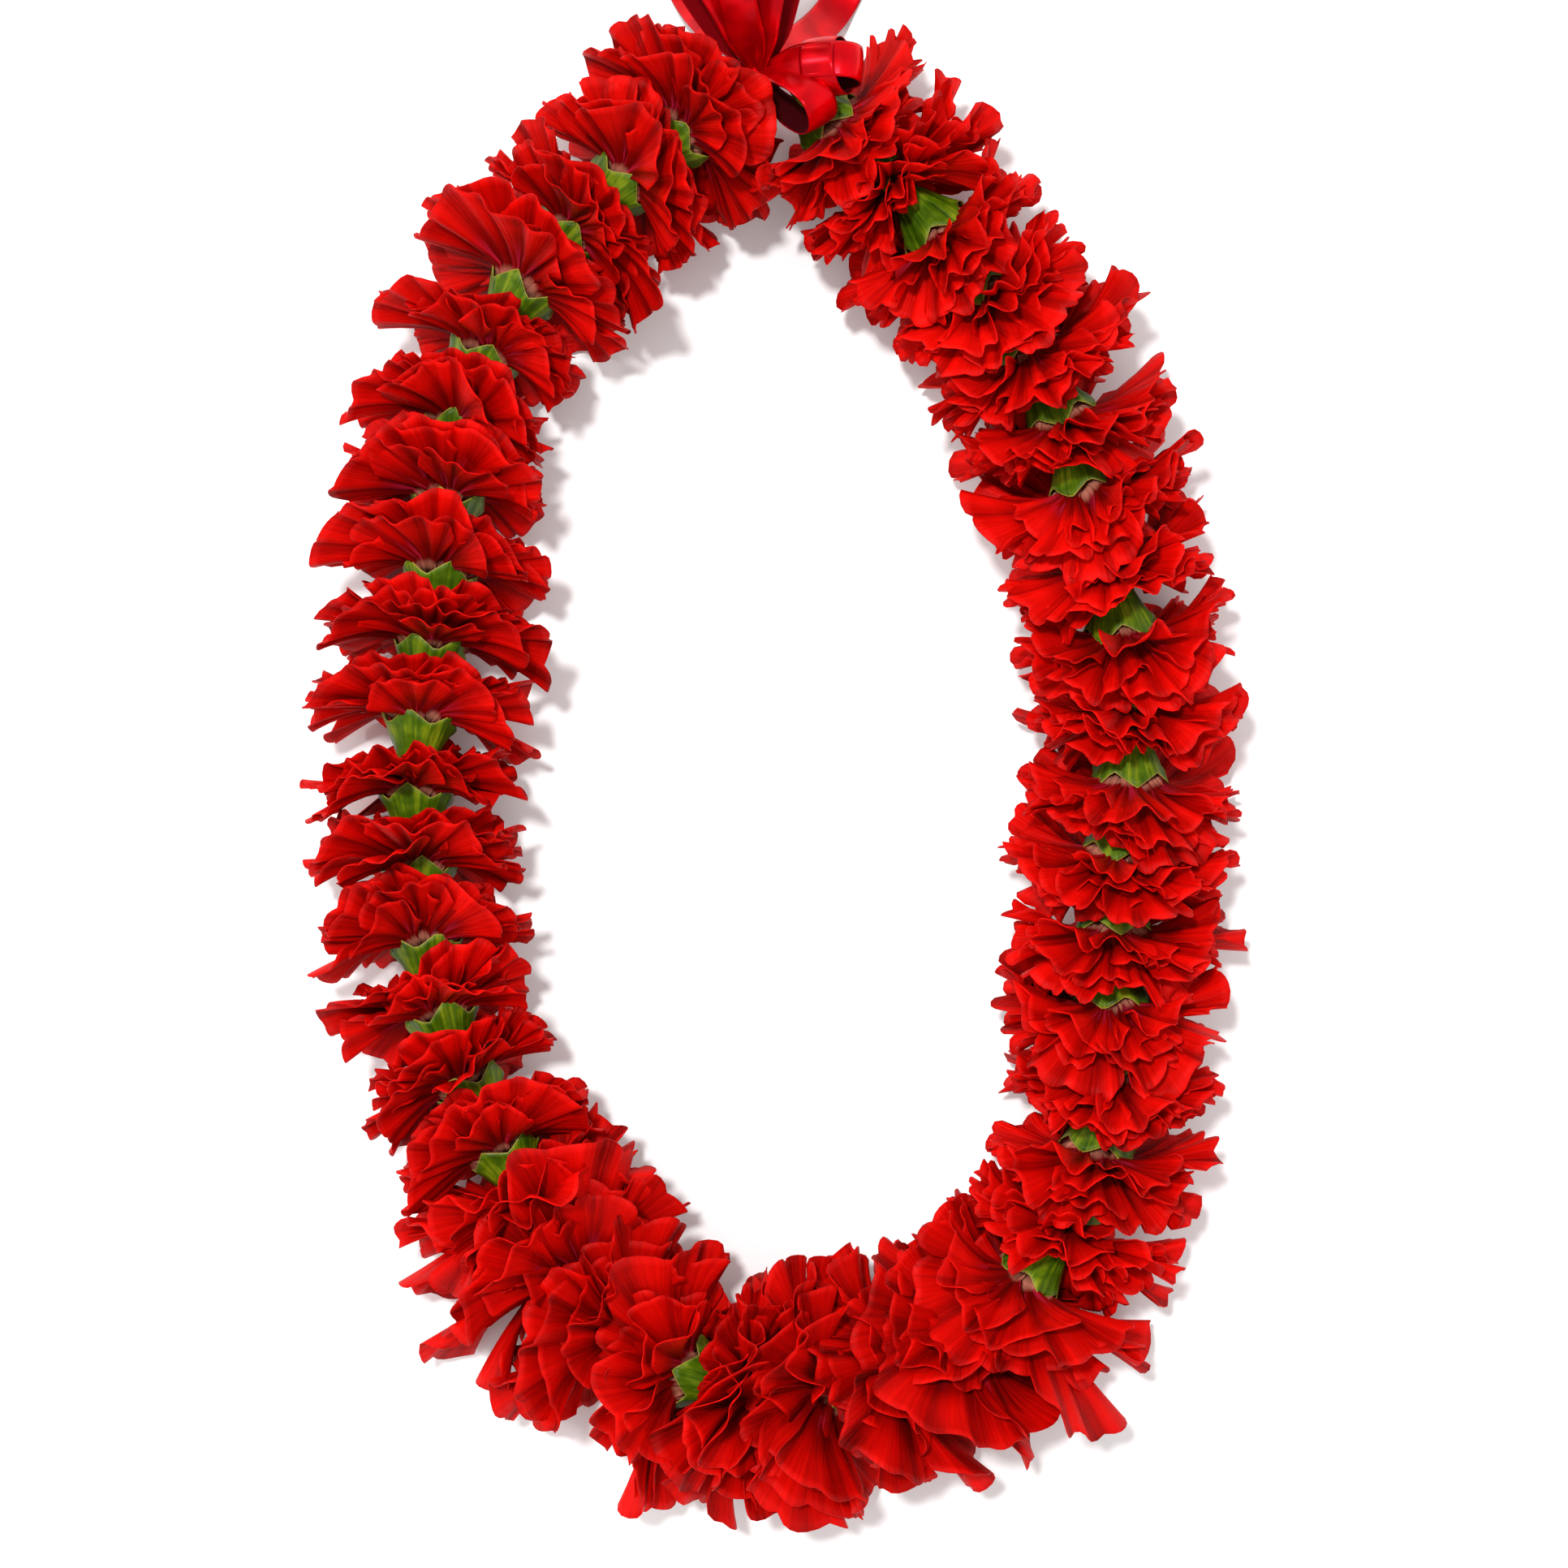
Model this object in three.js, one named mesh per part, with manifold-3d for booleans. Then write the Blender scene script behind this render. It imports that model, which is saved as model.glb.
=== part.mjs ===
// Fresh carnation lei: 42 red carnations strung face to calyx on one string, lying flat in a tall
// egg-shaped loop, with a red satin ribbon bow tied over the string's knot.
// Millimetres, +Z up. The lei lies on the plane z = 0, its bow towards +Y.
// The blooms follow each other clockwise, seen from above, and all face that way.

import * as THREE from 'three';
import { mergeVertices } from 'three/addons/utils/BufferGeometryUtils.js';
import Module from 'manifold-3d';

const wasm = await Module();
wasm.setup();

// Driving dimensions of the loop
const BLOOM_COUNT = 42;
const HEADS_PER_BUNCH = 3;
const AXIS_HEIGHT = 33; // the string above the surface, a little less than a bloom's radius
// Bare string left for the bow: from the last head to the bow's knot, and on to the first calyx
const BOW_ROOM = { before: 22, after: 12 };
// The string's route seen from above, clockwise from the bow
const LOOP_POINTS = [
  [-4, 225], [16, 213], [38, 193], [60, 168], [79, 140], [94, 110], [104, 76], [110, 42], [111, 8],
  [106, -25], [105, -58], [104, -90], [96, -120], [77, -147], [49, -166], [17, -176], [-17, -177],
  [-46, -162], [-66, -135], [-82, -106], [-98, -76], [-106, -43], [-109, -10], [-109, 23],
  [-104, 56], [-100, 88], [-97, 117], [-86, 145], [-69, 170], [-47, 192], [-25, 211],
];

// String and bores
const STRING_RADIUS = 0.5;
const STRING_SIDES = 5;
const BORE_RADIUS = 0.95;
const KNOT_RADIUS = 1.7;
const SEAT_GAP = 0.3; // between pieces that rest on each other

// Bloom, measured along its own axis from the foot of its calyx
const SIDES = 5; // petals in a layer, and teeth on a calyx
const BLOOM_RADIUS = 36;
const SIZE_SPREAD = 0.1; // share of the radius between the smallest and the largest bloom
const WIDE_BLOOM = 1.16; // the wide open blooms at the bottom of the loop
const WIDE_BELOW_Y = -125;
const HEART_RADIUS = 5.2; // the bundle of petal claws that every petal grows from
const HEART_FOOT = 13.3;
const FIRST_PETAL = 16.8;
const PETAL_STEP = 1.15; // along the axis between the roots of two layers
const HEART_TOP = 0.2; // least height of the heart's end over the last root
const PETAL_THICKNESS = 0.7;
// Layers from the back of the bloom to its face: reach as a share of the bloom's radius, lean
// forward from square to the axis in degrees for petals that point up, sideways and down, rim
// points of a petal beside the notch before it, notch radius as a share of the reach, and pleat
// height in millimetres
const LAYERS = [
  { reach: 1.0, up: 18, side: 2, down: -4, tips: 2, notch: 0.56, pleat: 2.5 },
  { reach: 0.94, up: 30, side: 18, down: 12, tips: 1, notch: 0.58, pleat: 2.1 },
  { reach: 0.74, up: 38, side: 34, down: 32, tips: 1, notch: 0.62, pleat: 1.2 },
  { reach: 0.47, up: 48, side: 48, down: 46, tips: 1, notch: 0.62, pleat: 1.0 },
];
const LEAN_EASE = 1.5; // how late the lean turns from the sideways one to the others
const PLEAT_SPREAD = 0.4; // share of the pleat height between the lowest and the highest pleat
const RIM_SPREAD = 0.16; // share of the reach between the shortest and the longest rim point
const RIM_TURN = 6; // degrees between the ends of a rim point's stray sideways
const TIP_SPREAD = 20; // degrees either side of a petal's middle
const HEAD_TILT = 2; // degrees that a head's layers lean to one side at most
const LINK_LAYER = 3; // the layer whose lowest petal runs on into the next head of its bunch
const LINK_REACH = { radius: 18.5, past: 23 }; // past the foot of the next bloom
const CROWDING = 0.6; // share of a petal's reach lost for each radian of bend beside it
// Where a bunch ends, along the axis of the next bloom, and how far that plane leans forward at
// its top, as the petals do
const BUNCH_PLANE = { height: 12, slope: 0.08 };
const BUNCH_GAP = 0.4;
const CUT_BLOCK = { size: 160, depth: 30 };

// Calyx: radius and height of its rings
const CALYX_FOOT_RADIUS = 3.6;
const CALYX_TOOTH = { radius: 10.8, height: 15.6 };
const CALYX_NOTCH = { radius: 9.3, height: 13.4 };
const CALYX_FLOOR = { radius: 7.2, height: HEART_FOOT - SEAT_GAP };

// Ribbon of the bow
const RIBBON_WIDTH = 11.5;
const RIBBON_THICKNESS = 0.7;
const BOW_KNOT = { length: 11, belly: 4.4, radius: 6, end: 4.4, bore: 2.3, sides: 8 };
// Share of its width that the ribbon is gathered to at the knot, and where it is fully spread
const GATHER = { least: 0.5, from: 1, to: 16 };
// Loops: direction seen from above in degrees from +X, length, opening, rise and roll in degrees
const BOW_LOOPS = [
  { turn: 124, length: 50, opening: 15, rise: 27, roll: 18 },
  { turn: 103, length: 54, opening: 16, rise: 38, roll: -12 },
  { turn: 77, length: 48, opening: 14, rise: 28, roll: -20 },
  { turn: 3, length: 34, opening: 15, rise: 26, roll: -14 },
  { turn: -36, length: 29, opening: 16, rise: 36, roll: -34 },
];
// A turn of ribbon round one of the loops: the loop, the place along it, and half its width and
// height
const BOW_SLEEVE = { loop: 3, along: 23, half: 8.6, rise: 7.4 };
const SLEEVE_SEGMENTS = 4;
// A loop's outline: its control points as shares of its length and opening, its eye by the knot,
// the wall that the eye's own control points leave, in ribbon thicknesses, and its facets
const LOOP_SHAPE = { middle: 0.4, shoulder: 0.62, end: 0.7, eye: 5 };
const LOOP_WALL = { shoulder: 1.9, end: 1.3 };
const LOOP_SEGMENTS = 4;
const BOW_TAILS = [
  { turn: 116, length: 66, bow: 7 },
  { turn: 52, length: 56, bow: -6 },
];

const BOW_START = new THREE.Vector3(-1.2, 3.6, 2.1); // where the first tail leaves the knot
const BOW_STACK = new THREE.Vector3(0.37, -0.53, 0.47); // from each band of ribbon to the next
const TAIL_STEPS = 4;
const TAIL_REST = 0.4; // height of the tails' ends above the surface
const TAIL_FALL = 0.7; // share of its length over which a tail comes down
const TAIL_NOTCH = 6; // depth of the swallow-tail cut
const KNOT_STRAIGHT = 7; // the string runs straight this far either side of its knot
const KNOT_SEAM = KNOT_RADIUS / 3; // where the string's ends stop inside its knot
const CALYX_SEED = 100;
const BUNCH_SEED = 500;

const TURN = 2 * Math.PI;
const UP = new THREE.Vector3(0, 0, 1);
const radians = (degrees) => THREE.MathUtils.degToRad(degrees);

// Small seeded generator, so that every run gives the same lei
function seededRandom(seed) {
  let state = seed >>> 0;
  return () => {
    state = (state + 0x6d2b79f5) >>> 0;
    let mixed = Math.imul(state ^ (state >>> 15), 1 | state);
    mixed = (mixed + Math.imul(mixed ^ (mixed >>> 7), 61 | mixed)) ^ mixed;
    return ((mixed ^ (mixed >>> 14)) >>> 0) / 4294967296;
  };
}

// Booleans

function toSolid(geometry) {
  const bare = geometry.clone();
  bare.deleteAttribute('normal');
  bare.deleteAttribute('uv');
  const merged = mergeVertices(bare, 1e-4);
  return new wasm.Manifold(new wasm.Mesh({
    numProp: 3,
    vertProperties: new Float32Array(merged.getAttribute('position').array),
    triVerts: new Uint32Array(merged.index.array),
  }));
}

function toGeometry(solid) {
  const mesh = solid.getMesh();
  const geometry = new THREE.BufferGeometry();
  geometry.setAttribute('position', new THREE.BufferAttribute(mesh.vertProperties, 3));
  geometry.setIndex(new THREE.BufferAttribute(mesh.triVerts, 1));
  return geometry;
}

// Closed skins made of rings of points, each ring running anticlockwise seen from the face

class Skin {
  constructor() {
    this.points = [];
    this.faces = [];
  }

  ring(list) {
    return list.map((point) => this.points.push(point.x, point.y, point.z) / 3 - 1);
  }

  // Wall between two rings with as many points each
  wall(lower, upper) {
    const count = lower.length;
    for (let i = 0; i < count; i++) {
      const next = (i + 1) % count;
      this.faces.push(lower[i], lower[next], upper[next], lower[i], upper[next], upper[i]);
    }
  }

  // Fans from an inner ring to an outer ring with several points for each inner one. The outer ring
  // starts at a notch: half a step before the inner ring's first point, or, staggered, level with
  // it. The front of a petal repeats the triangles of its back, turned over.
  fan(inner, outer, staggered, front) {
    const share = outer.length / inner.length;
    const own = staggered ? share >> 1 : share;
    const add = (a, b, c) => (front ? this.faces.push(a, b, c) : this.faces.push(a, c, b));
    for (let i = 0; i < inner.length; i++) {
      const here = inner[i];
      const next = inner[(i + 1) % inner.length];
      const rim = (j) => outer[(i * share + j) % outer.length];
      for (let j = 0; j < own; j++) add(here, rim(j), rim(j + 1));
      add(here, rim(own), next);
      for (let j = own; j < share; j++) add(next, rim(j), rim(j + 1));
    }
  }

  geometry() {
    const geometry = new THREE.BufferGeometry();
    geometry.setAttribute('position', new THREE.Float32BufferAttribute(this.points, 3));
    geometry.setIndex(this.faces);
    return geometry;
  }
}

// A point of a bloom: x to the outside of the loop, y up, z along the axis
function polar(radius, angle, height) {
  return new THREE.Vector3(radius * Math.sin(angle), radius * Math.cos(angle), height);
}

function evenRing(count, radius, height, phase = 0) {
  return Array.from({ length: count }, (_, i) => polar(radius, phase - (i * TURN) / count, height));
}

// The loop and the place of every bloom on it

function bloomPlaces() {
  const points = LOOP_POINTS.map(([x, y]) => new THREE.Vector3(x, y, AXIS_HEIGHT));
  const route = new THREE.CatmullRomCurve3(points, true, 'centripetal');
  route.arcLengthDivisions = 2000;
  const around = route.getLength();
  const pitch = (around - BOW_ROOM.before - BOW_ROOM.after) / BLOOM_COUNT;
  const at = (distance) => route.getPointAt(distance / around);
  const feet = Array.from({ length: BLOOM_COUNT + 1 }, (_, i) => at(BOW_ROOM.after + i * pitch));
  const places = [];
  for (let i = 0; i < BLOOM_COUNT; i++) {
    const axis = feet[i + 1].clone().sub(feet[i]);
    const length = axis.length();
    axis.normalize();
    const side = UP.clone().cross(axis);
    places.push({
      foot: feet[i],
      axis,
      length,
      frame: new THREE.Matrix4().makeBasis(side, UP, axis).setPosition(feet[i]),
    });
  }
  places.forEach((place, i) => {
    place.bend = i + 1 < BLOOM_COUNT ? place.axis.angleTo(places[i + 1].axis) : 0;
  });
  return { places, feet, knot: points[0] };
}

// Calyx: a short green cup with five teeth that holds the claws, bored for the string

function calyxGeometry(random) {
  const skin = new Skin();
  const phase = random() * TURN;
  const foot = SEAT_GAP / 2;
  const crown = Array.from({ length: 2 * SIDES }, (_, i) => {
    const { radius, height } = i % 2 ? CALYX_TOOTH : CALYX_NOTCH;
    return polar(radius, phase + (0.5 - i / 2) * (TURN / SIDES), height);
  });
  const boreFoot = skin.ring(evenRing(SIDES, BORE_RADIUS, foot, phase));
  const base = skin.ring(evenRing(SIDES, CALYX_FOOT_RADIUS, foot, phase));
  const rim = skin.ring(crown);
  const floor = skin.ring(evenRing(SIDES, CALYX_FLOOR.radius, CALYX_FLOOR.height, phase));
  const boreTop = skin.ring(evenRing(SIDES, BORE_RADIUS, CALYX_FLOOR.height, phase));
  skin.wall(boreFoot, base);
  skin.fan(base, rim, false, false);
  skin.fan(floor, rim, false, true);
  skin.wall(floor, boreTop);
  skin.wall(boreTop, boreFoot);
  return skin.geometry();
}

// Head: the heart of claws and four layers of pleated petals, all one skin

function petalMiddle(phase, petal, staggered) {
  return phase - ((petal + (staggered ? 0.5 : 0)) * TURN) / SIDES;
}

function lowestPetal(phase, staggered) {
  const heights = Array.from({ length: SIDES }, (_, i) => Math.cos(petalMiddle(phase, i, staggered)));
  return heights.indexOf(Math.min(...heights));
}

// Lean of a layer at an angle round the axis
function leanAt({ up, side, down }, angle) {
  const upward = Math.cos(angle);
  const end = upward > 0 ? up : down;
  return radians(side + (end - side) * Math.abs(upward) ** LEAN_EASE);
}

function headGeometry(place, wide, linked, random) {
  const skin = new Skin();
  const phase = random() * TURN;
  const tiltAngle = random() * TURN;
  const tilt = Math.tan(radians(HEAD_TILT * random()));
  const size = BLOOM_RADIUS * (1 + SIZE_SPREAD * (random() - 0.5)) * (wide ? WIDE_BLOOM : 1);
  const top = place.length - SEAT_GAP / 2 - CALYX_FOOT_RADIUS * Math.tan(place.bend);
  const rootHeight = (i) => Math.min(FIRST_PETAL + i * PETAL_STEP, top - HEART_TOP);
  // Petals on the inner side of a bend have less room
  const crowding = (angle) => 1 - CROWDING * place.bend * Math.max(0, -Math.sin(angle));

  const rimPoint = (layer, index, middle, j) => {
    const notch = j === 0;
    const spread = notch ? 180 / SIDES : TIP_SPREAD * (layer.tips === 1 ? 0 : 3 - 2 * j);
    const angle = middle + radians(spread + (notch ? 0 : RIM_TURN * (random() - 0.5)));
    const ruffle = notch ? layer.notch : 1 + RIM_SPREAD * (random() - 0.5);
    const radius = size * layer.reach * ruffle * crowding(angle);
    const pleat = notch ? 0 : layer.pleat * (j % 2 ? 1 : -1) * (1 - PLEAT_SPREAD * random());
    const rise = Math.tan(leanAt(layer, angle)) + tilt * Math.cos(angle - tiltAngle);
    return { radius, angle, height: rootHeight(index) + (radius - HEART_RADIUS) * rise + pleat };
  };
  // Petals that reach the surface are pressed flat on it
  const onSurface = (radius, angle) => {
    const down = -Math.cos(angle);
    return down * radius > AXIS_HEIGHT ? AXIS_HEIGHT / down : radius;
  };

  const linkEnd = (angle) => {
    const outwards = Math.max(0, LINK_REACH.radius * Math.sin(angle));
    const height = place.length + LINK_REACH.past + outwards * Math.tan(place.bend);
    return { radius: LINK_REACH.radius, height };
  };

  const layerRims = (layer, index) => {
    const staggered = index % 2 === 1;
    const linkPetal = linked && index === LINK_LAYER ? lowestPetal(phase, staggered) : -1;
    const back = [];
    const front = [];
    for (let petal = 0; petal < SIDES; petal++) {
      for (let j = 0; j <= layer.tips; j++) {
        const point = rimPoint(layer, index, petalMiddle(phase, petal, staggered), j);
        if (petal === linkPetal && j > 0) Object.assign(point, linkEnd(point.angle));
        const slope = Math.atan2(point.height - rootHeight(index), point.radius - HEART_RADIUS);
        const thinner = point.radius - PETAL_THICKNESS * Math.sin(slope);
        const frontHeight = point.height + PETAL_THICKNESS * Math.cos(slope);
        back.push(polar(onSurface(point.radius, point.angle), point.angle, point.height));
        front.push(polar(onSurface(thinner, point.angle), point.angle, frontHeight));
      }
    }
    return { back, front, staggered };
  };

  const boreFoot = skin.ring(evenRing(SIDES, BORE_RADIUS, HEART_FOOT, phase));
  const foot = skin.ring(evenRing(SIDES, HEART_RADIUS, HEART_FOOT, phase));
  let root = skin.ring(evenRing(SIDES, HEART_RADIUS, rootHeight(0), phase));
  skin.wall(boreFoot, foot);
  skin.wall(foot, root);
  LAYERS.forEach((layer, index) => {
    const { back, front, staggered } = layerRims(layer, index);
    const last = index === LAYERS.length - 1;
    const backRim = skin.ring(back);
    const frontRim = skin.ring(front);
    const next = skin.ring(evenRing(SIDES, HEART_RADIUS, last ? top : rootHeight(index + 1), phase));
    skin.fan(root, backRim, staggered, false);
    skin.wall(backRim, frontRim);
    skin.fan(next, frontRim, staggered, true);
    root = next;
  });
  const boreTop = skin.ring(evenRing(SIDES, BORE_RADIUS, top, phase));
  skin.wall(root, boreTop);
  skin.wall(boreTop, boreFoot);
  return skin.geometry();
}

// Cuts away what lies past a plane
function cutPast(solid, point, direction) {
  const turn = new THREE.Matrix4().makeRotationFromQuaternion(
    new THREE.Quaternion().setFromUnitVectors(UP, direction),
  );
  const { size, depth } = CUT_BLOCK;
  const block = new THREE.BoxGeometry(size, size, depth).translate(0, 0, depth / 2);
  return solid.subtract(toSolid(block.applyMatrix4(turn.setPosition(point))));
}

// The plane between two blooms, just behind the petals of the second one
function planeBefore(place, previous) {
  const direction = place.axis.clone().add(previous.axis).normalize()
    .addScaledVector(UP, -BUNCH_PLANE.slope).normalize();
  return { point: place.foot.clone().addScaledVector(place.axis, BUNCH_PLANE.height), direction };
}

function bunchSolid(places, first, random) {
  const last = first + HEADS_PER_BUNCH - 1;
  let bunch = null;
  for (let i = first; i <= last; i++) {
    const place = places[i];
    const head = headGeometry(place, place.foot.y < WIDE_BELOW_Y, i < last, random);
    const solid = toSolid(head.applyMatrix4(place.frame));
    bunch = bunch ? bunch.add(solid) : solid;
  }
  if (last + 1 < places.length) {
    const { point, direction } = planeBefore(places[last + 1], places[last]);
    bunch = cutPast(bunch, point.addScaledVector(direction, -BUNCH_GAP / 2), direction);
  }
  if (first > 0) {
    const { point, direction } = planeBefore(places[first], places[first - 1]);
    bunch = cutPast(bunch, point.addScaledVector(direction, BUNCH_GAP / 2), direction.negate());
  }
  return bunch;
}

// String: straight through each bloom and through the bow's knot, with its own knot there

class StraightRuns extends THREE.Curve {
  constructor(corners) {
    super();
    this.corners = corners;
  }

  getPoint(t, target = new THREE.Vector3()) {
    const place = THREE.MathUtils.clamp(t, 0, 1) * (this.corners.length - 1);
    const run = Math.min(Math.floor(place), this.corners.length - 2);
    return target.lerpVectors(this.corners[run], this.corners[run + 1], place - run);
  }

  getUtoTmapping(u) {
    return u;
  }
}

function circleShape(radius, sides) {
  const corners = Array.from({ length: sides }, (_, i) => new THREE.Vector2(
    radius * Math.cos((i * TURN) / sides),
    radius * Math.sin((i * TURN) / sides),
  ));
  return new THREE.Shape(corners);
}

function stringSolid(feet, knot, along) {
  const beside = (distance) => knot.clone().addScaledVector(along, distance);
  const corners = [
    beside(KNOT_SEAM), beside(KNOT_STRAIGHT), ...feet, beside(-KNOT_STRAIGHT), beside(-KNOT_SEAM),
  ];
  const tube = new THREE.ExtrudeGeometry(circleShape(STRING_RADIUS, STRING_SIDES), {
    steps: corners.length - 1,
    extrudePath: new StraightRuns(corners),
  });
  const lump = new THREE.IcosahedronGeometry(KNOT_RADIUS, 0).translate(knot.x, knot.y, knot.z);
  return toSolid(tube).add(toSolid(lump));
}

// Bow: ribbon loops and tails gathered in a knot round the string

function gather(distance) {
  const spread = THREE.MathUtils.smoothstep(distance, GATHER.from, GATHER.to);
  return THREE.MathUtils.lerp(GATHER.least, 1, spread);
}

function loopGeometry({ turn, length, opening, rise, roll }, start) {
  const thick = RIBBON_THICKNESS;
  const middle = LOOP_SHAPE.middle * length;
  const shoulder = LOOP_SHAPE.shoulder * opening;
  const half = LOOP_SHAPE.end * opening;
  const outline = new THREE.Shape();
  outline.moveTo(0, -thick);
  outline.bezierCurveTo(middle, -shoulder, length, -half, length, 0);
  outline.bezierCurveTo(length, half, middle, shoulder, 0, thick);
  const innerLength = length - thick;
  const innerShoulder = shoulder - LOOP_WALL.shoulder * thick;
  const innerHalf = half - LOOP_WALL.end * thick;
  const inside = new THREE.Path();
  inside.moveTo(LOOP_SHAPE.eye, 0);
  inside.bezierCurveTo(middle, -innerShoulder, innerLength, -innerHalf, innerLength, 0);
  inside.bezierCurveTo(innerLength, innerHalf, middle, innerShoulder, LOOP_SHAPE.eye, 0);
  outline.holes.push(inside);
  const loop = new THREE.ExtrudeGeometry(outline, {
    depth: RIBBON_WIDTH,
    bevelEnabled: false,
    curveSegments: LOOP_SEGMENTS,
  }).translate(0, 0, -RIBBON_WIDTH / 2);
  const position = loop.getAttribute('position');
  for (let i = 0; i < position.count; i++) {
    position.setZ(i, position.getZ(i) * gather(position.getX(i)));
  }
  return asLoop(loop, { turn, rise, roll }, start);
}

// Turns and moves what is drawn along +X, opening up and down +Y, to a loop's own place
function asLoop(geometry, { turn, rise, roll }, start) {
  return geometry
    .rotateX(Math.PI / 2 + radians(roll))
    .rotateY(-radians(rise))
    .rotateZ(radians(turn))
    .translate(start.x, start.y, start.z);
}

function sleeveGeometry(loop, start) {
  const { along, half, rise } = BOW_SLEEVE;
  const outline = new THREE.Shape().absellipse(0, 0, half, rise, 0, TURN);
  const inner = [half - RIBBON_THICKNESS, rise - RIBBON_THICKNESS];
  outline.holes.push(new THREE.Path().absellipse(0, 0, ...inner, 0, TURN));
  const sleeve = new THREE.ExtrudeGeometry(outline, {
    depth: RIBBON_WIDTH,
    bevelEnabled: false,
    curveSegments: SLEEVE_SEGMENTS,
  }).translate(0, 0, along - RIBBON_WIDTH / 2).rotateY(Math.PI / 2);
  return asLoop(sleeve, loop, start);
}

function tailGeometry({ turn, length, bow }, start) {
  const skin = new Skin();
  const ahead = new THREE.Vector3(Math.cos(radians(turn)), Math.sin(radians(turn)), 0);
  const across = new THREE.Vector3(-ahead.y, ahead.x, 0);
  const rings = [];
  for (let i = 0; i <= TAIL_STEPS; i++) {
    const along = (i / TAIL_STEPS) * length;
    const fall = THREE.MathUtils.smoothstep(along, 0, TAIL_FALL * length);
    const middle = start.clone().addScaledVector(ahead, along)
      .addScaledVector(across, bow * Math.sin((Math.PI * i) / TAIL_STEPS));
    middle.z = THREE.MathUtils.lerp(start.z, TAIL_REST, fall);
    const half = (RIBBON_WIDTH / 2) * gather(along);
    const point = (share, rise, back) => middle.clone().addScaledVector(across, share * half)
      .addScaledVector(ahead, -back).addScaledVector(UP, rise);
    const notch = i === TAIL_STEPS ? TAIL_NOTCH : 0;
    const thick = RIBBON_THICKNESS;
    rings.push(skin.ring([
      point(1, 0, 0), point(1, thick, 0), point(0, thick, notch), point(-1, thick, 0),
      point(-1, 0, 0), point(0, 0, notch),
    ]));
  }
  for (let i = 0; i < TAIL_STEPS; i++) skin.wall(rings[i], rings[i + 1]);
  const close = ([a, b, c, d, e, f], turned) => [[a, b, f], [b, c, f], [c, d, e], [c, e, f]]
    .forEach(([p, q, r]) => skin.faces.push(...(turned ? [p, r, q] : [p, q, r])));
  close(rings[0], true);
  close(rings[TAIL_STEPS], false);
  return skin.geometry();
}

function bowSolid(knot, along) {
  const { length, belly, radius, end, bore, sides } = BOW_KNOT;
  const barrel = new THREE.LatheGeometry([
    new THREE.Vector2(0, -length / 2), new THREE.Vector2(end, -length / 2),
    new THREE.Vector2(radius, -belly / 2), new THREE.Vector2(radius, belly / 2),
    new THREE.Vector2(end, length / 2), new THREE.Vector2(0, length / 2),
  ], sides);
  const channel = new THREE.CylinderGeometry(bore, bore, 3 * length, sides);
  const turn = new THREE.Matrix4().makeRotationFromQuaternion(
    new THREE.Quaternion().setFromUnitVectors(new THREE.Vector3(0, 1, 0), along),
  ).setPosition(knot);
  const start = (i) => knot.clone().add(BOW_START).addScaledVector(BOW_STACK, i);
  const pieces = [
    ...BOW_TAILS.map((tail, i) => tailGeometry(tail, start(i))),
    ...BOW_LOOPS.map((loop, i) => loopGeometry(loop, start(i + BOW_TAILS.length))),
    sleeveGeometry(BOW_LOOPS[BOW_SLEEVE.loop], start(BOW_SLEEVE.loop + BOW_TAILS.length)),
  ];
  return pieces
    .reduce((whole, piece) => whole.add(toSolid(piece)), toSolid(barrel.applyMatrix4(turn)))
    .subtract(toSolid(channel.applyMatrix4(turn)));
}

// Assembly

const petalRed = { color: 0xd00808, roughness: 0.62, metalness: 0 };
const calyxGreen = { color: 0x5f8c1e, roughness: 0.5, metalness: 0 };
const stringWhite = { color: 0xe8e4d8, roughness: 0.8, metalness: 0 };
const satinRed = { color: 0xc40822, roughness: 0.28, metalness: 0 };

function piece(name, geometry, finish) {
  const mesh = new THREE.Mesh(geometry, new THREE.MeshStandardMaterial(finish));
  mesh.name = name;
  return mesh;
}

function twoDigits(number) {
  return String(number).padStart(2, '0');
}

function buildLei() {
  const lei = new THREE.Group();
  const { places, feet, knot } = bloomPlaces();
  const along = feet[0].clone().sub(feet[BLOOM_COUNT]).normalize();
  places.forEach((place, i) => {
    const geometry = calyxGeometry(seededRandom(CALYX_SEED + i)).applyMatrix4(place.frame);
    lei.add(piece(`calyx_${twoDigits(i + 1)}`, geometry, calyxGreen));
  });
  for (let first = 0; first < BLOOM_COUNT; first += HEADS_PER_BUNCH) {
    const name = `petals_${twoDigits(first + 1)}_${twoDigits(first + HEADS_PER_BUNCH)}`;
    const bunch = bunchSolid(places, first, seededRandom(BUNCH_SEED + first));
    lei.add(piece(name, toGeometry(bunch), petalRed));
  }
  lei.add(piece('string', toGeometry(stringSolid(feet, knot, along)), stringWhite));
  lei.add(piece('bow', toGeometry(bowSolid(knot, along)), satinRed));
  const middle = new THREE.Box3().setFromObject(lei, true).getCenter(new THREE.Vector3());
  lei.position.set(-middle.x, -middle.y, 0);
  return lei;
}

const group = buildLei();
export default group;
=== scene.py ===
"""Fresh carnation lei: 42 red carnations on one cotton string, with a red satin ribbon bow.

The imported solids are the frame. Every bloom gets its pleated petals and its toothed calyx in the
place that the solids hold, and the bow gets its ribbon, folded along the solids' loops and tails.
Lengths are in metres, or in millimetres where a class says so. A bloom has coordinates of its
own: x to the outside of the loop, y up, and z along its axis from the foot of the calyx towards
its face.
"""

from __future__ import annotations

import logging
import math
import random
from bisect import bisect_right
from dataclasses import dataclass
from enum import Enum
from itertools import accumulate
from typing import Callable, Iterator

import bmesh
import bpy
from mathutils import Matrix, Vector


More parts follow.
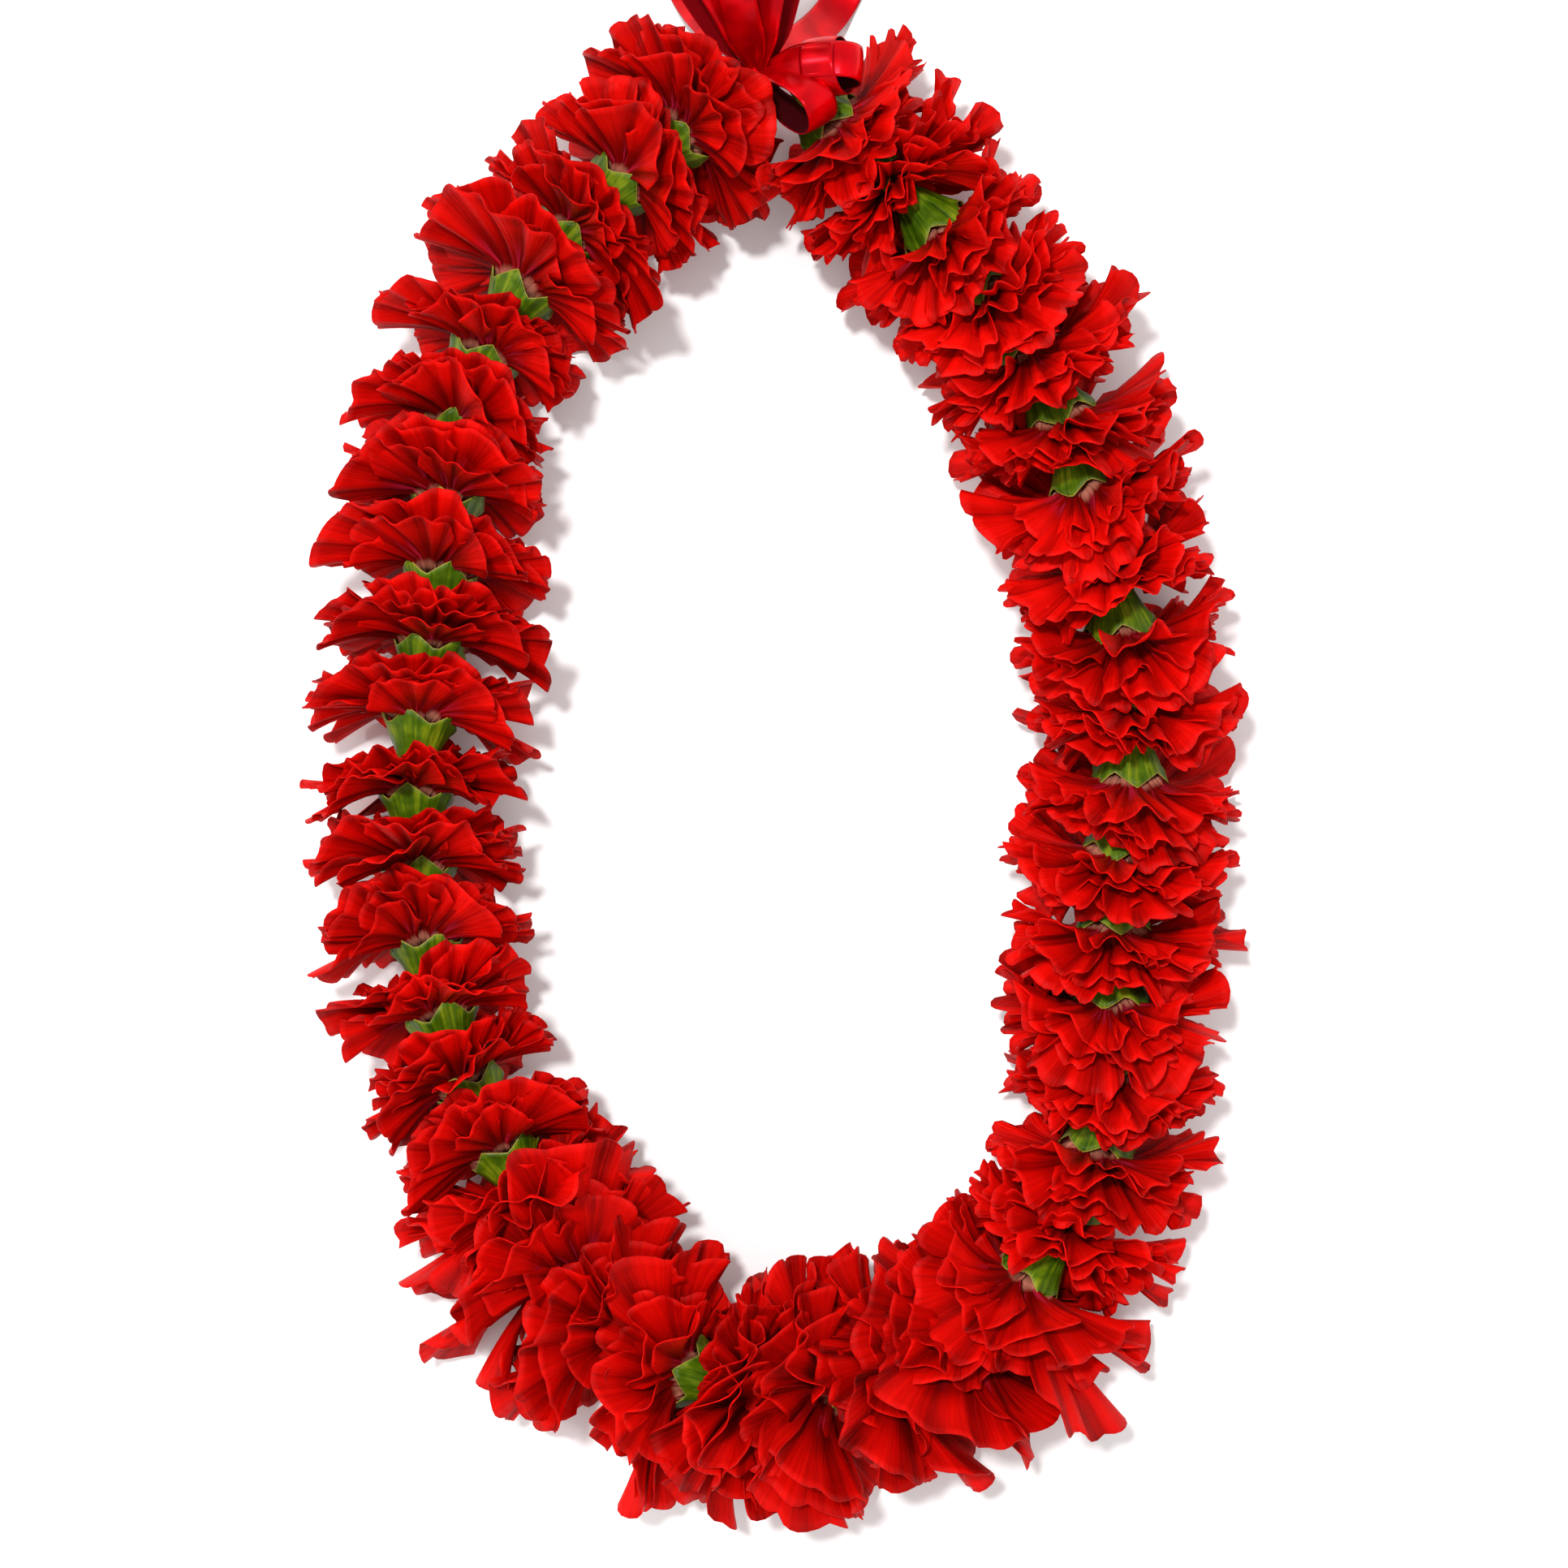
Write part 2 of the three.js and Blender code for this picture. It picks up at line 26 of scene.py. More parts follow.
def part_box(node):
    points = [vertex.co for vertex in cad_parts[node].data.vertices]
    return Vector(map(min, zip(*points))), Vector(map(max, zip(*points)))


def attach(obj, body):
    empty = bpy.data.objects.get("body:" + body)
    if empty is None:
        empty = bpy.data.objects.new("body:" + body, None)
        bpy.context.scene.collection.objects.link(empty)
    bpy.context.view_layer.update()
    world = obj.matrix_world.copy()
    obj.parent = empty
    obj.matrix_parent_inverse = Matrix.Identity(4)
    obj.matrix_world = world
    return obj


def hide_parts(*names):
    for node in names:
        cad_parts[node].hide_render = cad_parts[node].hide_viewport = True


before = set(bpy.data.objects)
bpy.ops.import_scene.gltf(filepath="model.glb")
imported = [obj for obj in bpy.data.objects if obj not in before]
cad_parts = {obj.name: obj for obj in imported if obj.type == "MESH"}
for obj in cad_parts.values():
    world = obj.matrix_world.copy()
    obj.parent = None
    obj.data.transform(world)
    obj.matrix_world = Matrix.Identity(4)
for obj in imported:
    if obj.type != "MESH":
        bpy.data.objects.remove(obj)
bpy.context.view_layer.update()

LOG = logging.getLogger("lei")
MM = 0.001
TURN = 2 * math.pi
UP = Vector((0, 0, 1))
BODY = "root"
Span = tuple[float, float]
Triple = tuple[float, float, float]
Colour = tuple[float, float, float, float]
Socket = bpy.types.NodeSocket
Tree = bpy.types.NodeTree
Shape = bmesh.types.BMesh
Piece = bpy.types.Object


def smooth_step(value: float, low: float, high: float) -> float:
    """Returns a share that eases from 0 at low to 1 at high."""
    share = min(1.0, max(0.0, (value - low) / (high - low)))
    return share * share * (3 - 2 * share)


def stand(name: str, data: bpy.types.ID) -> Piece:
    """Puts a new object in the scene.

    Args:
        name: The object's name.
        data: Its mesh, curve, camera or lamp.

    Returns:
        The object.
    """
    thing = bpy.data.objects.new(name, data)
    bpy.context.scene.collection.objects.link(thing)
    return thing


# Shader building


class Wiring:
    """Adds nodes to one shader tree and feeds their sockets."""

    def __init__(self, tree: Tree) -> None:
        """Keeps the tree that the nodes go into."""
        self.tree = tree

    def feed(self, socket: Socket, value: object) -> None:
        """Links a socket into another one, or sets it to a plain value.

        Args:
            socket: The socket to feed.
            value: Another socket, or a number, vector or colour.
        """
        if isinstance(value, bpy.types.NodeSocket):
            self.tree.links.new(value, socket)
        else:
            socket.default_value = value

    def add(self, kind: str, inputs: dict | None = None, **settings: object) -> bpy.types.Node:
        """Adds a node.

        Args:
            kind: The node's Blender type.
            inputs: What its sockets get, by name or number.
            settings: The node's own properties.

        Returns:
            The new node.
        """
        node = self.tree.nodes.new(kind)
        for name, value in settings.items():
            setattr(node, name, value)
        for name, value in (inputs or {}).items():
            self.feed(node.inputs[name], value)
        return node

    def times(self, first: object, second: object) -> Socket:
        """Returns the product of two values, clamped."""
        settings = {"operation": "MULTIPLY", "use_clamp": True}
        return self.add("ShaderNodeMath", {0: first, 1: second}, **settings).outputs[0]

    def plus(self, base: object, value: object, share: object) -> Socket:
        """Returns a base plus a share of a value, clamped."""
        settings = {"operation": "MULTIPLY_ADD", "use_clamp": True}
        return self.add("ShaderNodeMath", {0: value, 1: share, 2: base}, **settings).outputs[0]

    def blend(self, share: object, first: object, second: object) -> Socket:
        """Returns a colour between two, by a share."""
        inputs = {0: share, 6: first, 7: second}
        return self.add("ShaderNodeMix", inputs, data_type="RGBA").outputs[2]

    def ease(self, value: object, low: float, high: float) -> Socket:
        """Returns a value eased from 0 at low to 1 at high."""
        inputs = {"Value": value, "From Min": low, "From Max": high}
        return self.add("ShaderNodeMapRange", inputs, interpolation_type="SMOOTHSTEP").outputs[0]

    def ramp(self, value: object, stops: list[tuple[float, Colour]]) -> Socket:
        """Reads a colour from a ramp.

        Args:
            value: Where to read it.
            stops: The ramp's places and colours, in order.

        Returns:
            The colour.
        """
        node = self.add("ShaderNodeValToRGB", {0: value})
        elements = node.color_ramp.elements
        while len(elements) < len(stops):
            elements.new(0.5)
        for element, (place, colour) in zip(elements, stops):
            element.position = place
            element.color = colour
        return node.outputs[0]

    def group(self, tree: Tree, **inputs: object) -> Socket:
        """Places a shared group and returns its one output."""
        return self.add("ShaderNodeGroup", inputs, node_tree=tree).outputs[0]

    def attribute(self, name: str) -> Socket:
        """Returns one of the mesh's own attributes, as a vector."""
        return self.add("ShaderNodeAttribute", attribute_name=name).outputs["Vector"]

    def dot(self, first: Socket, second: Socket) -> Socket:
        """Returns the dot product of two vectors."""
        inputs = {0: first, 1: second}
        return self.add("ShaderNodeVectorMath", inputs, operation="DOT_PRODUCT").outputs["Value"]

    def facing(self) -> Socket:
        """Returns how squarely the surface faces the way that its crease attribute points."""
        normal = self.add("ShaderNodeNewGeometry").outputs["True Normal"]
        return self.dot(self.attribute("crease"), normal)


class SharedEffects:
    """Node groups that more than one material uses."""

    contrast: Span = (0.3, 0.7)
    streak_roughness: float = 0.6

    def __init__(self) -> None:
        """Builds each group once: streaks along a surface, and cloudy patches over a piece."""
        self.streaks = self.build("streaks", Place="Vector", Stretch="Vector", Detail="Float")
        self.mottle = self.build("mottle", Scale="Float", Detail="Float")

    def build(self, name: str, **kinds: str) -> Tree:
        """Builds a group of firm noise, which veins, ribs, threads and patches are read from.

        Args:
            name: The group's name.
            kinds: The kinds of its inputs, by name. A group without a place uses the piece's own.

        Returns:
            The group.
        """
        tree = bpy.data.node_groups.new(name, "ShaderNodeTree")
        for socket, kind in kinds.items():
            tree.interface.new_socket(socket, in_out="INPUT", socket_type=f"NodeSocket{kind}")
        tree.interface.new_socket("Value", in_out="OUTPUT", socket_type="NodeSocketFloat")
        wiring = Wiring(tree)
        given = wiring.add("NodeGroupInput").outputs
        if "Place" in kinds:
            pair = {0: given["Place"], 1: given["Stretch"]}
            place = wiring.add("ShaderNodeVectorMath", pair, operation="MULTIPLY").outputs[0]
            inputs = {"Scale": 1.0, "Roughness": self.streak_roughness}
        else:
            place = wiring.add("ShaderNodeTexCoord").outputs["Object"]
            inputs = {"Scale": given["Scale"]}
        inputs |= {"Vector": place, "Detail": given["Detail"]}
        noise = wiring.add("ShaderNodeTexNoise", inputs).outputs[0]
        wiring.add("NodeGroupOutput", {0: wiring.ease(noise, *self.contrast)})
        return tree


class Coat(Wiring):
    """The wiring of one material, round its Principled shader."""

    def __init__(self, name: str, effects: SharedEffects) -> None:
        """Starts the material.

        Args:
            name: The material's name.
            effects: The shared node groups.
        """
        self.material = bpy.data.materials.new(name)
        self.material.use_nodes = True
        super().__init__(self.material.node_tree)
        self.shader = self.tree.nodes["Principled BSDF"]
        self.effects = effects

    def streaks(self, stretch: Triple, detail: float) -> Socket:
        """Returns the shared streaks, laid along the mesh's growth."""
        growth = self.attribute("growth")
        return self.group(self.effects.streaks, Place=growth, Stretch=stretch, Detail=detail)

    def mottle(self, scale: float, detail: float) -> Socket:
        """Returns the shared patches."""
        return self.group(self.effects.mottle, Scale=scale, Detail=detail)

    def cover(self, colour: object, roughness: Socket) -> None:
        """Gives the material its colour and its roughness."""
        self.feed(self.shader.inputs["Base Color"], colour)
        self.feed(self.shader.inputs["Roughness"], roughness)

    def relief(self, height: Socket, strength: float, depth: float) -> None:
        """Gives the material the fine relief of a height, over a depth in metres."""
        inputs = {"Height": height, "Strength": strength, "Distance": depth}
        self.feed(self.shader.inputs["Normal"], self.add("ShaderNodeBump", inputs).outputs[0])


@dataclass(frozen=True)
class PetalFinish:
    """Velvety red petals with fine veins and a pale claw. Their colour has painted shade in the
    throat and the fold valleys, and painted light on the fold ridges.

    Spans along a petal run from 0 at its root to 1 at its rim.
    """

    dark: Colour = (0.05, 0.0, 0.0, 1)
    middle: Colour = (0.46, 0.001, 0.0, 1)
    bright: Colour = (0.80, 0.003, 0.001, 1)
    blush: Colour = (0.55, 0.012, 0.05, 1)
    claw: Colour = (0.95, 0.34, 0.22, 1)
    vein_stretch: Triple = (19, 1.3, 61)
    patch_stretch: Triple = (5, 1.0, 37)
    cloud_scale: float = 90.0
    # Painted shade and light in the folds: darker colour in the valleys, lighter on the ridges.
    fold_shade_span: Span = (-0.75, 0.55)
    fold_shade_share: float = 0.42
    tone_share: float = 0.26
    vein_share: float = 0.22
    cloud_share: float = 0.12
    # Painted shade along the petal: the colour is scaled down at the throat and up towards the rim.
    throat_shade_span: Span = (0.2, 0.85)
    throat_painted_light: float = 0.25
    rim_painted_light: float = 0.8
    blush_patches: Span = (0.76, 0.95)
    blush_span: Span = (0.6, 0.2)
    blush_share: float = 0.6
    claw_span: Span = (0.2, 0.07)
    roughness: float = 0.46
    patch_roughness: float = 0.16
    gloss: float = 0.07
    height_share: float = 0.5
    relief: Span = (0.6, 0.0006)

    def paint(self, coat: Coat) -> None:
        """Wires the material.

        A petal's growth attribute is (across, along, tone), and its crease attribute is the
        direction that its front faces, scaled by how far the fold stands out that way.

        Args:
            coat: The material in the making.
        """
        parts = coat.add("ShaderNodeSeparateXYZ", {0: coat.attribute("growth")}).outputs
        along, tone = parts[1], parts[2]
        veins, patches = coat.streaks(self.vein_stretch, 3.0), coat.streaks(self.patch_stretch, 1.0)
        # Painted shade and light: the colour is darker in the fold valleys and lighter on the
        # ridges.
        fold = coat.ease(coat.facing(), *self.fold_shade_span)
        shade = coat.plus(coat.times(tone, self.tone_share), fold, self.fold_shade_share)
        shade = coat.plus(shade, veins, self.vein_share)
        shade = coat.plus(shade, coat.mottle(self.cloud_scale, 2.0), self.cloud_share)
        # Painted shade: the colour darkens towards the petal's throat and is lightest towards its
        # rim.
        opened = coat.ease(along, *self.throat_shade_span)
        shade = coat.times(shade, coat.plus(self.throat_painted_light, opened, self.rim_painted_light))
        colour = coat.ramp(shade, [(0.0, self.dark), (0.5, self.middle), (1.0, self.bright)])
        patched = coat.ease(patches, *self.blush_patches)
        blushing = coat.times(patched, coat.ease(along, *self.blush_span))
        colour = coat.blend(coat.times(blushing, self.blush_share), colour, self.blush)
        colour = coat.blend(coat.ease(along, *self.claw_span), colour, self.claw)
        coat.cover(colour, coat.plus(self.roughness, patches, self.patch_roughness))
        coat.shader.inputs["Specular IOR Level"].default_value = self.gloss
        height = coat.plus(coat.times(veins, self.height_share), patches, self.height_share)
        coat.relief(height, *self.relief)


@dataclass(frozen=True)
class CalyxFinish:
    """Waxy green calyx, with fine ribs and yellow edges to its teeth."""

    shade: Colour = (0.018, 0.055, 0.001, 1)
    green: Colour = (0.075, 0.15, 0.001, 1)
    light: Colour = (0.22, 0.29, 0.004, 1)
    edge: Colour = (0.44, 0.36, 0.06, 1)
    rib_stretch: Triple = (6, 6, 1.1)
    cloud_scale: float = 160.0
    rib_share: float = 0.5
    cloud_share: float = 0.5
    edge_span: Span = (0.7, 1.0)
    roughness: float = 0.36
    cloud_roughness: float = 0.2
    gloss: float = 0.2
    relief: Span = (0.5, 0.0004)

    def paint(self, coat: Coat) -> None:
        """Wires the material. The growth attribute is (sine, cosine, height) and rim a mask.

        Args:
            coat: The material in the making.
        """
        rim = coat.add("ShaderNodeAttribute", attribute_name="rim").outputs["Fac"]
        ribs, cloud = coat.streaks(self.rib_stretch, 2.0), coat.mottle(self.cloud_scale, 2.0)
        shade = coat.plus(coat.times(cloud, self.cloud_share), ribs, self.rib_share)
        colour = coat.ramp(shade, [(0.0, self.shade), (0.55, self.green), (1.0, self.light)])
        colour = coat.blend(coat.ease(rim, *self.edge_span), colour, self.edge)
        coat.cover(colour, coat.plus(self.roughness, cloud, self.cloud_roughness))
        coat.shader.inputs["Specular IOR Level"].default_value = self.gloss
        coat.relief(ribs, *self.relief)


@dataclass(frozen=True)
class CottonFinish:
    """Off-white cotton string."""

    shade: Colour = (0.5, 0.46, 0.36, 1)
    light: Colour = (0.86, 0.82, 0.72, 1)
    fibre_scale: float = 1600.0
    roughness: float = 0.75
    fibre_roughness: float = 0.15
    relief: Span = (0.6, 0.0003)

    def paint(self, coat: Coat) -> None:
        """Wires the material.

        Args:
            coat: The material in the making.
        """
        fibres = coat.mottle(self.fibre_scale, 3.0)
        roughness = coat.plus(self.roughness, fibres, self.fibre_roughness)
        coat.cover(coat.blend(fibres, self.shade, self.light), roughness)
        coat.relief(fibres, *self.relief)


@dataclass(frozen=True)
class SatinFinish:
    """Red satin ribbon: a close weave with a pink shine along its threads and a firm edge."""

    dark: Colour = (0.20, 0.0, 0.001, 1)
    red: Colour = (0.74, 0.0003, 0.003, 1)
    edge: Colour = (0.38, 0.0, 0.002, 1)
    # Painted shade: the inside colour goes on the ribbon's inner faces, and the depth colour on
    # those of the low bands.
    inside: Colour = (0.24, 0.0, 0.002, 1)
    depth: Colour = (0.05, 0.0, 0.001, 1)
    deep_shade_bands: Span = (4.3, 4.7)
    thread_stretch: Triple = (46, 5, 1)
    cloud_scale: float = 120.0
    least_red: float = 0.4
    cloud_share: float = 0.5
    inner_span: Span = (0.1, -0.1)
    edge_span: Span = (0.93, 0.99)
    roughness: float = 0.17
    thread_roughness: float = 0.08
    inner_roughness: float = 0.7
    metal: float = 0.5
    gloss: float = 0.6
    shine: Colour = (1.0, 0.18, 0.28, 1)
    relief: Span = (0.08, 0.0001)

    def paint(self, coat: Coat) -> None:
        """Wires the material.

        The growth attribute is (across, along, band) of the ribbon, and the crease attribute is
        the direction that its outer side faces. The inner faces get painted shade: a darker colour,
        and a deeper one in the bands after the upper loops, which lie low in the bow.

        Args:
            coat: The material in the making.
        """
        parts = coat.add("ShaderNodeSeparateXYZ", {0: coat.attribute("growth")}).outputs
        across, band = parts[0], parts[2]
        threads, cloud = coat.streaks(self.thread_stretch, 2.0), coat.mottle(self.cloud_scale, 1.0)
        redness = coat.plus(self.least_red, cloud, self.cloud_share)
        # Painted shade: inner faces get a darker colour, deepest in the low bands. The same mask
        # also makes them rougher.
        inner = coat.ease(coat.facing(), *self.inner_span)
        inside = coat.blend(coat.ease(band, *self.deep_shade_bands), self.inside, self.depth)
        colour = coat.blend(inner, coat.blend(redness, self.dark, self.red), inside)
        side = coat.add("ShaderNodeMath", {0: across}, operation="ABSOLUTE").outputs[0]
        colour = coat.blend(coat.ease(side, *self.edge_span), colour, self.edge)
        woven = coat.plus(self.roughness, threads, self.thread_roughness)
        coat.cover(colour, coat.plus(woven, inner, self.inner_roughness))
        coat.shader.inputs["Metallic"].default_value = self.metal
        coat.shader.inputs["Specular IOR Level"].default_value = self.gloss
        coat.shader.inputs["Specular Tint"].default_value = self.shine
        coat.relief(threads, *self.relief)


@dataclass(frozen=True)
class FloorFinish:
    """Plain white studio floor."""

    white: Colour = (0.93, 0.93, 0.93, 1)
    roughness: float = 0.85
    cloud_roughness: float = 0.05

    def paint(self, coat: Coat) -> None:
        """Wires the material."""
        roughness = coat.plus(self.roughness, coat.mottle(2.0, 1.0), self.cloud_roughness)
        coat.cover(self.white, roughness)


# Finished pieces


class Dresser:
    """Turns a bmesh into a finished piece that rides, replaces its node and has its finish."""

    def __init__(self) -> None:
        """Builds the shared effects, and a material for each slot and for the floor."""
        effects = SharedEffects()
        self.materials = {}
        for slot, name, finish in (
            ("petal", "petal_velvet", PetalFinish()),
            ("calyx", "calyx_wax", CalyxFinish()),
            ("string", "cotton_string", CottonFinish()),
            ("ribbon", "satin_ribbon", SatinFinish()),
            ("floor", "studio_white", FloorFinish()),
        ):
            coat = Coat(name, effects)
            finish.paint(coat)
            self.materials[slot] = coat.material

    def finish(
        self, name: str, shape: Shape, slot: str, node: str, thickness: float = 0.0
    ) -> Piece:
        """Makes the piece's object.

        Args:
            name: The piece's name.
            shape: Its mesh, in the row frame. It is freed here.
            slot: The record's material slot.
            node: The CAD node that it stands for.
            thickness: What a sheet gets, half to each side, in metres.

        Returns:
            The object, at the origin.
        """
        for face in shape.faces:
            face.smooth = True
        mesh = bpy.data.meshes.new(name)
        shape.to_mesh(mesh)
        shape.free()
        piece = stand(name, mesh)
        mesh.materials.append(self.materials[slot])
        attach(piece, BODY)
        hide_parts(node)
        if thickness:
            modifier = piece.modifiers.new("thickness", "SOLIDIFY")
            modifier.thickness = thickness
            modifier.offset = 0
        LOG.info("%s: %d faces", name, len(mesh.polygons))
        return piece


class Sheets:
    """Sheets in the making: their mesh, and the two attributes that the finishes read."""

    def __init__(self) -> None:
        """Starts an empty mesh."""
        self.shape = bmesh.new()
        self.growth = self.shape.verts.layers.float_vector.new("growth")
        self.crease = self.shape.verts.layers.float_vector.new("crease")

    def grid(self, columns: int, rows: int) -> Iterator[tuple[bmesh.types.BMVert, float, float]]:
        """Adds a flat sheet.

        Args:
            columns: How many faces wide it is.
            rows: How many faces long it is.

        Yields:
            Each of its points, with its place across, -1 to 1, and along, 0 to 1.
        """
        made = bmesh.ops.create_grid(self.shape, x_segments=columns, y_segments=rows, size=1)
        for vert in made["verts"]:
            yield vert, vert.co.x, (vert.co.y + 1) / 2

    def place(self, vert: bmesh.types.BMVert, spot: Vector, growth: Triple, front: Vector) -> None:
        """Moves a point and stores its attributes.

        Args:
            vert: The point.
            spot: Where it goes in the row frame, in metres.
            growth: Its place across and along the sheet, and the sheet's own number.
            front: The direction that the sheet's front faces there.
        """
        vert.co = spot
        vert[self.growth] = Vector(growth)
        vert[self.crease] = front


# The string's run and the places of the blooms


@dataclass(frozen=True)
class BloomPlace:
    """Where a bloom sits on the string, and how the string bends towards the next one."""

    index: int
    foot: Vector
    side: Vector
    axis: Vector
    bend: float

    def matrix(self) -> Matrix:
        """Returns the turn from the bloom's coordinates to the row frame."""
        turn = Matrix((self.side, UP, self.axis)).transposed().to_4x4()
        return Matrix.Translation(self.foot) @ turn

    @property
    def number(self) -> int:
        """The bloom's number, from 1."""
        return self.index + 1


@dataclass
class StringRun:
    """The string's closed run, as the solids have it, with a place for every bloom."""

    blooms: int = 42
    axis_height: float = 0.033
    room_before_bow: float = 0.022
    room_after_bow: float = 0.012
    divisions: int = 2000
    points: tuple[tuple[int, int], ...] = (
        (-4, 225), (16, 213), (38, 193), (60, 168), (79, 140), (94, 110), (104, 76), (110, 42),
        (111, 8), (106, -25), (105, -58), (104, -90), (96, -120), (77, -147), (49, -166),
        (17, -176), (-17, -177), (-46, -162), (-66, -135), (-82, -106), (-98, -76), (-106, -43),
        (-109, -10), (-109, 23), (-104, 56), (-100, 88), (-97, 117), (-86, 145), (-69, 170),
        (-47, 192), (-25, 211),
    )  # millimetres, clockwise from the bow, before the lei is centred on its box

    def __post_init__(self) -> None:
        """Walks the run and lays the places out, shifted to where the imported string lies."""
        self.corners = [Vector((x * MM, y * MM, self.axis_height)) for x, y in self.points]
        spots = [self.spot(i / self.divisions) for i in range(self.divisions + 1)]
        steps = ((b - a).length for a, b in zip(spots, spots[1:]))
        self.lengths = list(accumulate(steps, initial=0.0))
        pitch = (self.lengths[-1] - self.room_before_bow - self.room_after_bow) / self.blooms
        self.feet = [self.at(self.room_after_bow + i * pitch) for i in range(self.blooms + 1)]
        shift = self.shift_to_frame()
        self.feet = [foot + shift for foot in self.feet]
        self.knot = self.corners[0] + shift
        self.along = (self.feet[0] - self.feet[-1]).normalized()
        axes = [(b - a).normalized() for a, b in zip(self.feet, self.feet[1:])]
        self.places = []
        for i, axis in enumerate(axes):
            bend = axis.angle(axes[i + 1]) if i + 1 < self.blooms else 0.0
            self.places.append(BloomPlace(i, self.feet[i], UP.cross(axis), axis, bend))

    def shift_to_frame(self) -> Vector:
        """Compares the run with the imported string.

        Returns:
            The step from the run's own middle to the string's.
        """
        low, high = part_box("string")
        route = [self.corners[0], *self.feet]
        middle = [(min(p[k] for p in route) + max(p[k] for p in route)) / 2 for k in (0, 1)]
        return Vector(((low.x + high.x) / 2 - middle[0], (low.y + high.y) / 2 - middle[1], 0))

    def spot(self, share: float) -> Vector:
        """Reads the smooth closed curve through the run's points.

        Args:
            share: Where, as a share of the number of points.

        Returns:
            The point there.
        """
        count = len(self.corners)
        place = count * share
        first = math.floor(place)
        weight = place - first
        a, b, c, d = (self.corners[(first + k) % count] for k in (-1, 0, 1, 2))
        ab, bc, cd = ((q - p).length ** 0.5 for p, q in ((a, b), (b, c), (c, d)))
        leaving = ((b - a) / ab - (c - a) / (ab + bc) + (c - b) / bc) * bc
        arriving = ((c - b) / bc - (d - b) / (bc + cd) + (d - c) / cd) * bc
        cubic = 2 * (b - c) + leaving + arriving
        square = 3 * (c - b) - 2 * leaving - arriving
        return b + leaving * weight + square * weight**2 + cubic * weight**3

    def at(self, distance: float) -> Vector:
        """Finds a point by its distance along the curve.

        Args:
            distance: From the bow's knot, in metres.

        Returns:
            The point there.
        """
        low = bisect_right(self.lengths, distance) - 1
        share = (distance - self.lengths[low]) / (self.lengths[low + 1] - self.lengths[low])
        return self.spot((low + share) / self.divisions)


# Blooms


class Habit(Enum):
    """How a bloom has opened."""

    PLEATED = "pleated"
    FRILLED = "frilled"
    OPEN = "open"


@dataclass(frozen=True)
class PetalRing:
    """One ring of petals, outermost first. Leans are degrees forward of square to the axis."""

    petals: int
    reach: float
    lean_up: float
    lean_side: float
    lean_down: float
    half_fan: float
    columns: int
    rows: int


@dataclass(frozen=True)
class HabitForm:
    """The petals of a bloom that has opened in one way. Depths are millimetres."""

    rings: tuple[PetalRing, ...]
    size: float
    folds: float
    fold_depth: float
    lobe_depth: float
    wave_depth: float
    jitter: float
    saddle: float
    strays: float
    lobes: int = 5
    # Raises the tone of every petal in such a bloom, making it a lighter red.
    tone_lift: float = 0.0
    outer: float = 0.0


# How much of each calyx the petals behind it leave in sight, in millimetres, round from the bow.
# The last figure is for the bow's knot.
CALYX_SHOWS = (
    12, 8, 15, 4, 12, 5, 9, 2, 4, 6, 6, 2, 7, 12, 0, 8, 4, 12, 4, 4, 6,
    4, 8, 6, 4, 3, 14, 8, 8, 6, 1, 8, 14, 9, 8, 7, 2, 8, 6, 0, 10, 4, -4,
)

FORMS = {
    Habit.PLEATED: HabitForm(
        rings=(
            PetalRing(6, 1.0, 18, -15, -20, 40, 34, 6),
            PetalRing(6, 1.0, 24, 0, -6, 40, 34, 6),
            PetalRing(6, 0.92, 31, 15, 8, 40, 26, 5),
            PetalRing(6, 0.76, 38, 32, 24, 38, 18, 5),
            PetalRing(5, 0.48, 46, 48, 44, 38, 12, 4),
        ),
        size=1.03, folds=4.4, fold_depth=1.15, lobe_depth=1.5, wave_depth=2.6, jitter=8,
        saddle=5, strays=0.07,
    ),
    Habit.FRILLED: HabitForm(
        rings=(
            PetalRing(7, 1.0, 12, -16, -20, 33, 28, 6),
            PetalRing(8, 0.98, 20, 0, -6, 31, 24, 6),
            PetalRing(8, 0.94, 29, 15, 8, 31, 24, 5),
            PetalRing(7, 0.80, 37, 31, 24, 33, 20, 5),
            PetalRing(5, 0.52, 47, 48, 44, 38, 14, 4),
        ),
        size=1.03, folds=3.4, fold_depth=1.6, lobe_depth=3.2, wave_depth=3.2, jitter=15,
        saddle=6, strays=0.12, tone_lift=0.3,
    ),
    Habit.OPEN: HabitForm(
        rings=(
            PetalRing(6, 0.98, 20, -14, -20, 38, 32, 7),
            PetalRing(7, 1.0, 30, 4, -6, 36, 28, 7),
            PetalRing(6, 0.88, 38, 18, 8, 38, 26, 6),
            PetalRing(6, 0.70, 44, 34, 24, 38, 18, 5),
            PetalRing(5, 0.46, 52, 50, 44, 38, 12, 4),
        ),
        size=1.18, folds=3.2, fold_depth=1.8, lobe_depth=2.6, wave_depth=4.6, jitter=18,
        saddle=9, strays=0.12, outer=0.12,
    ),
}


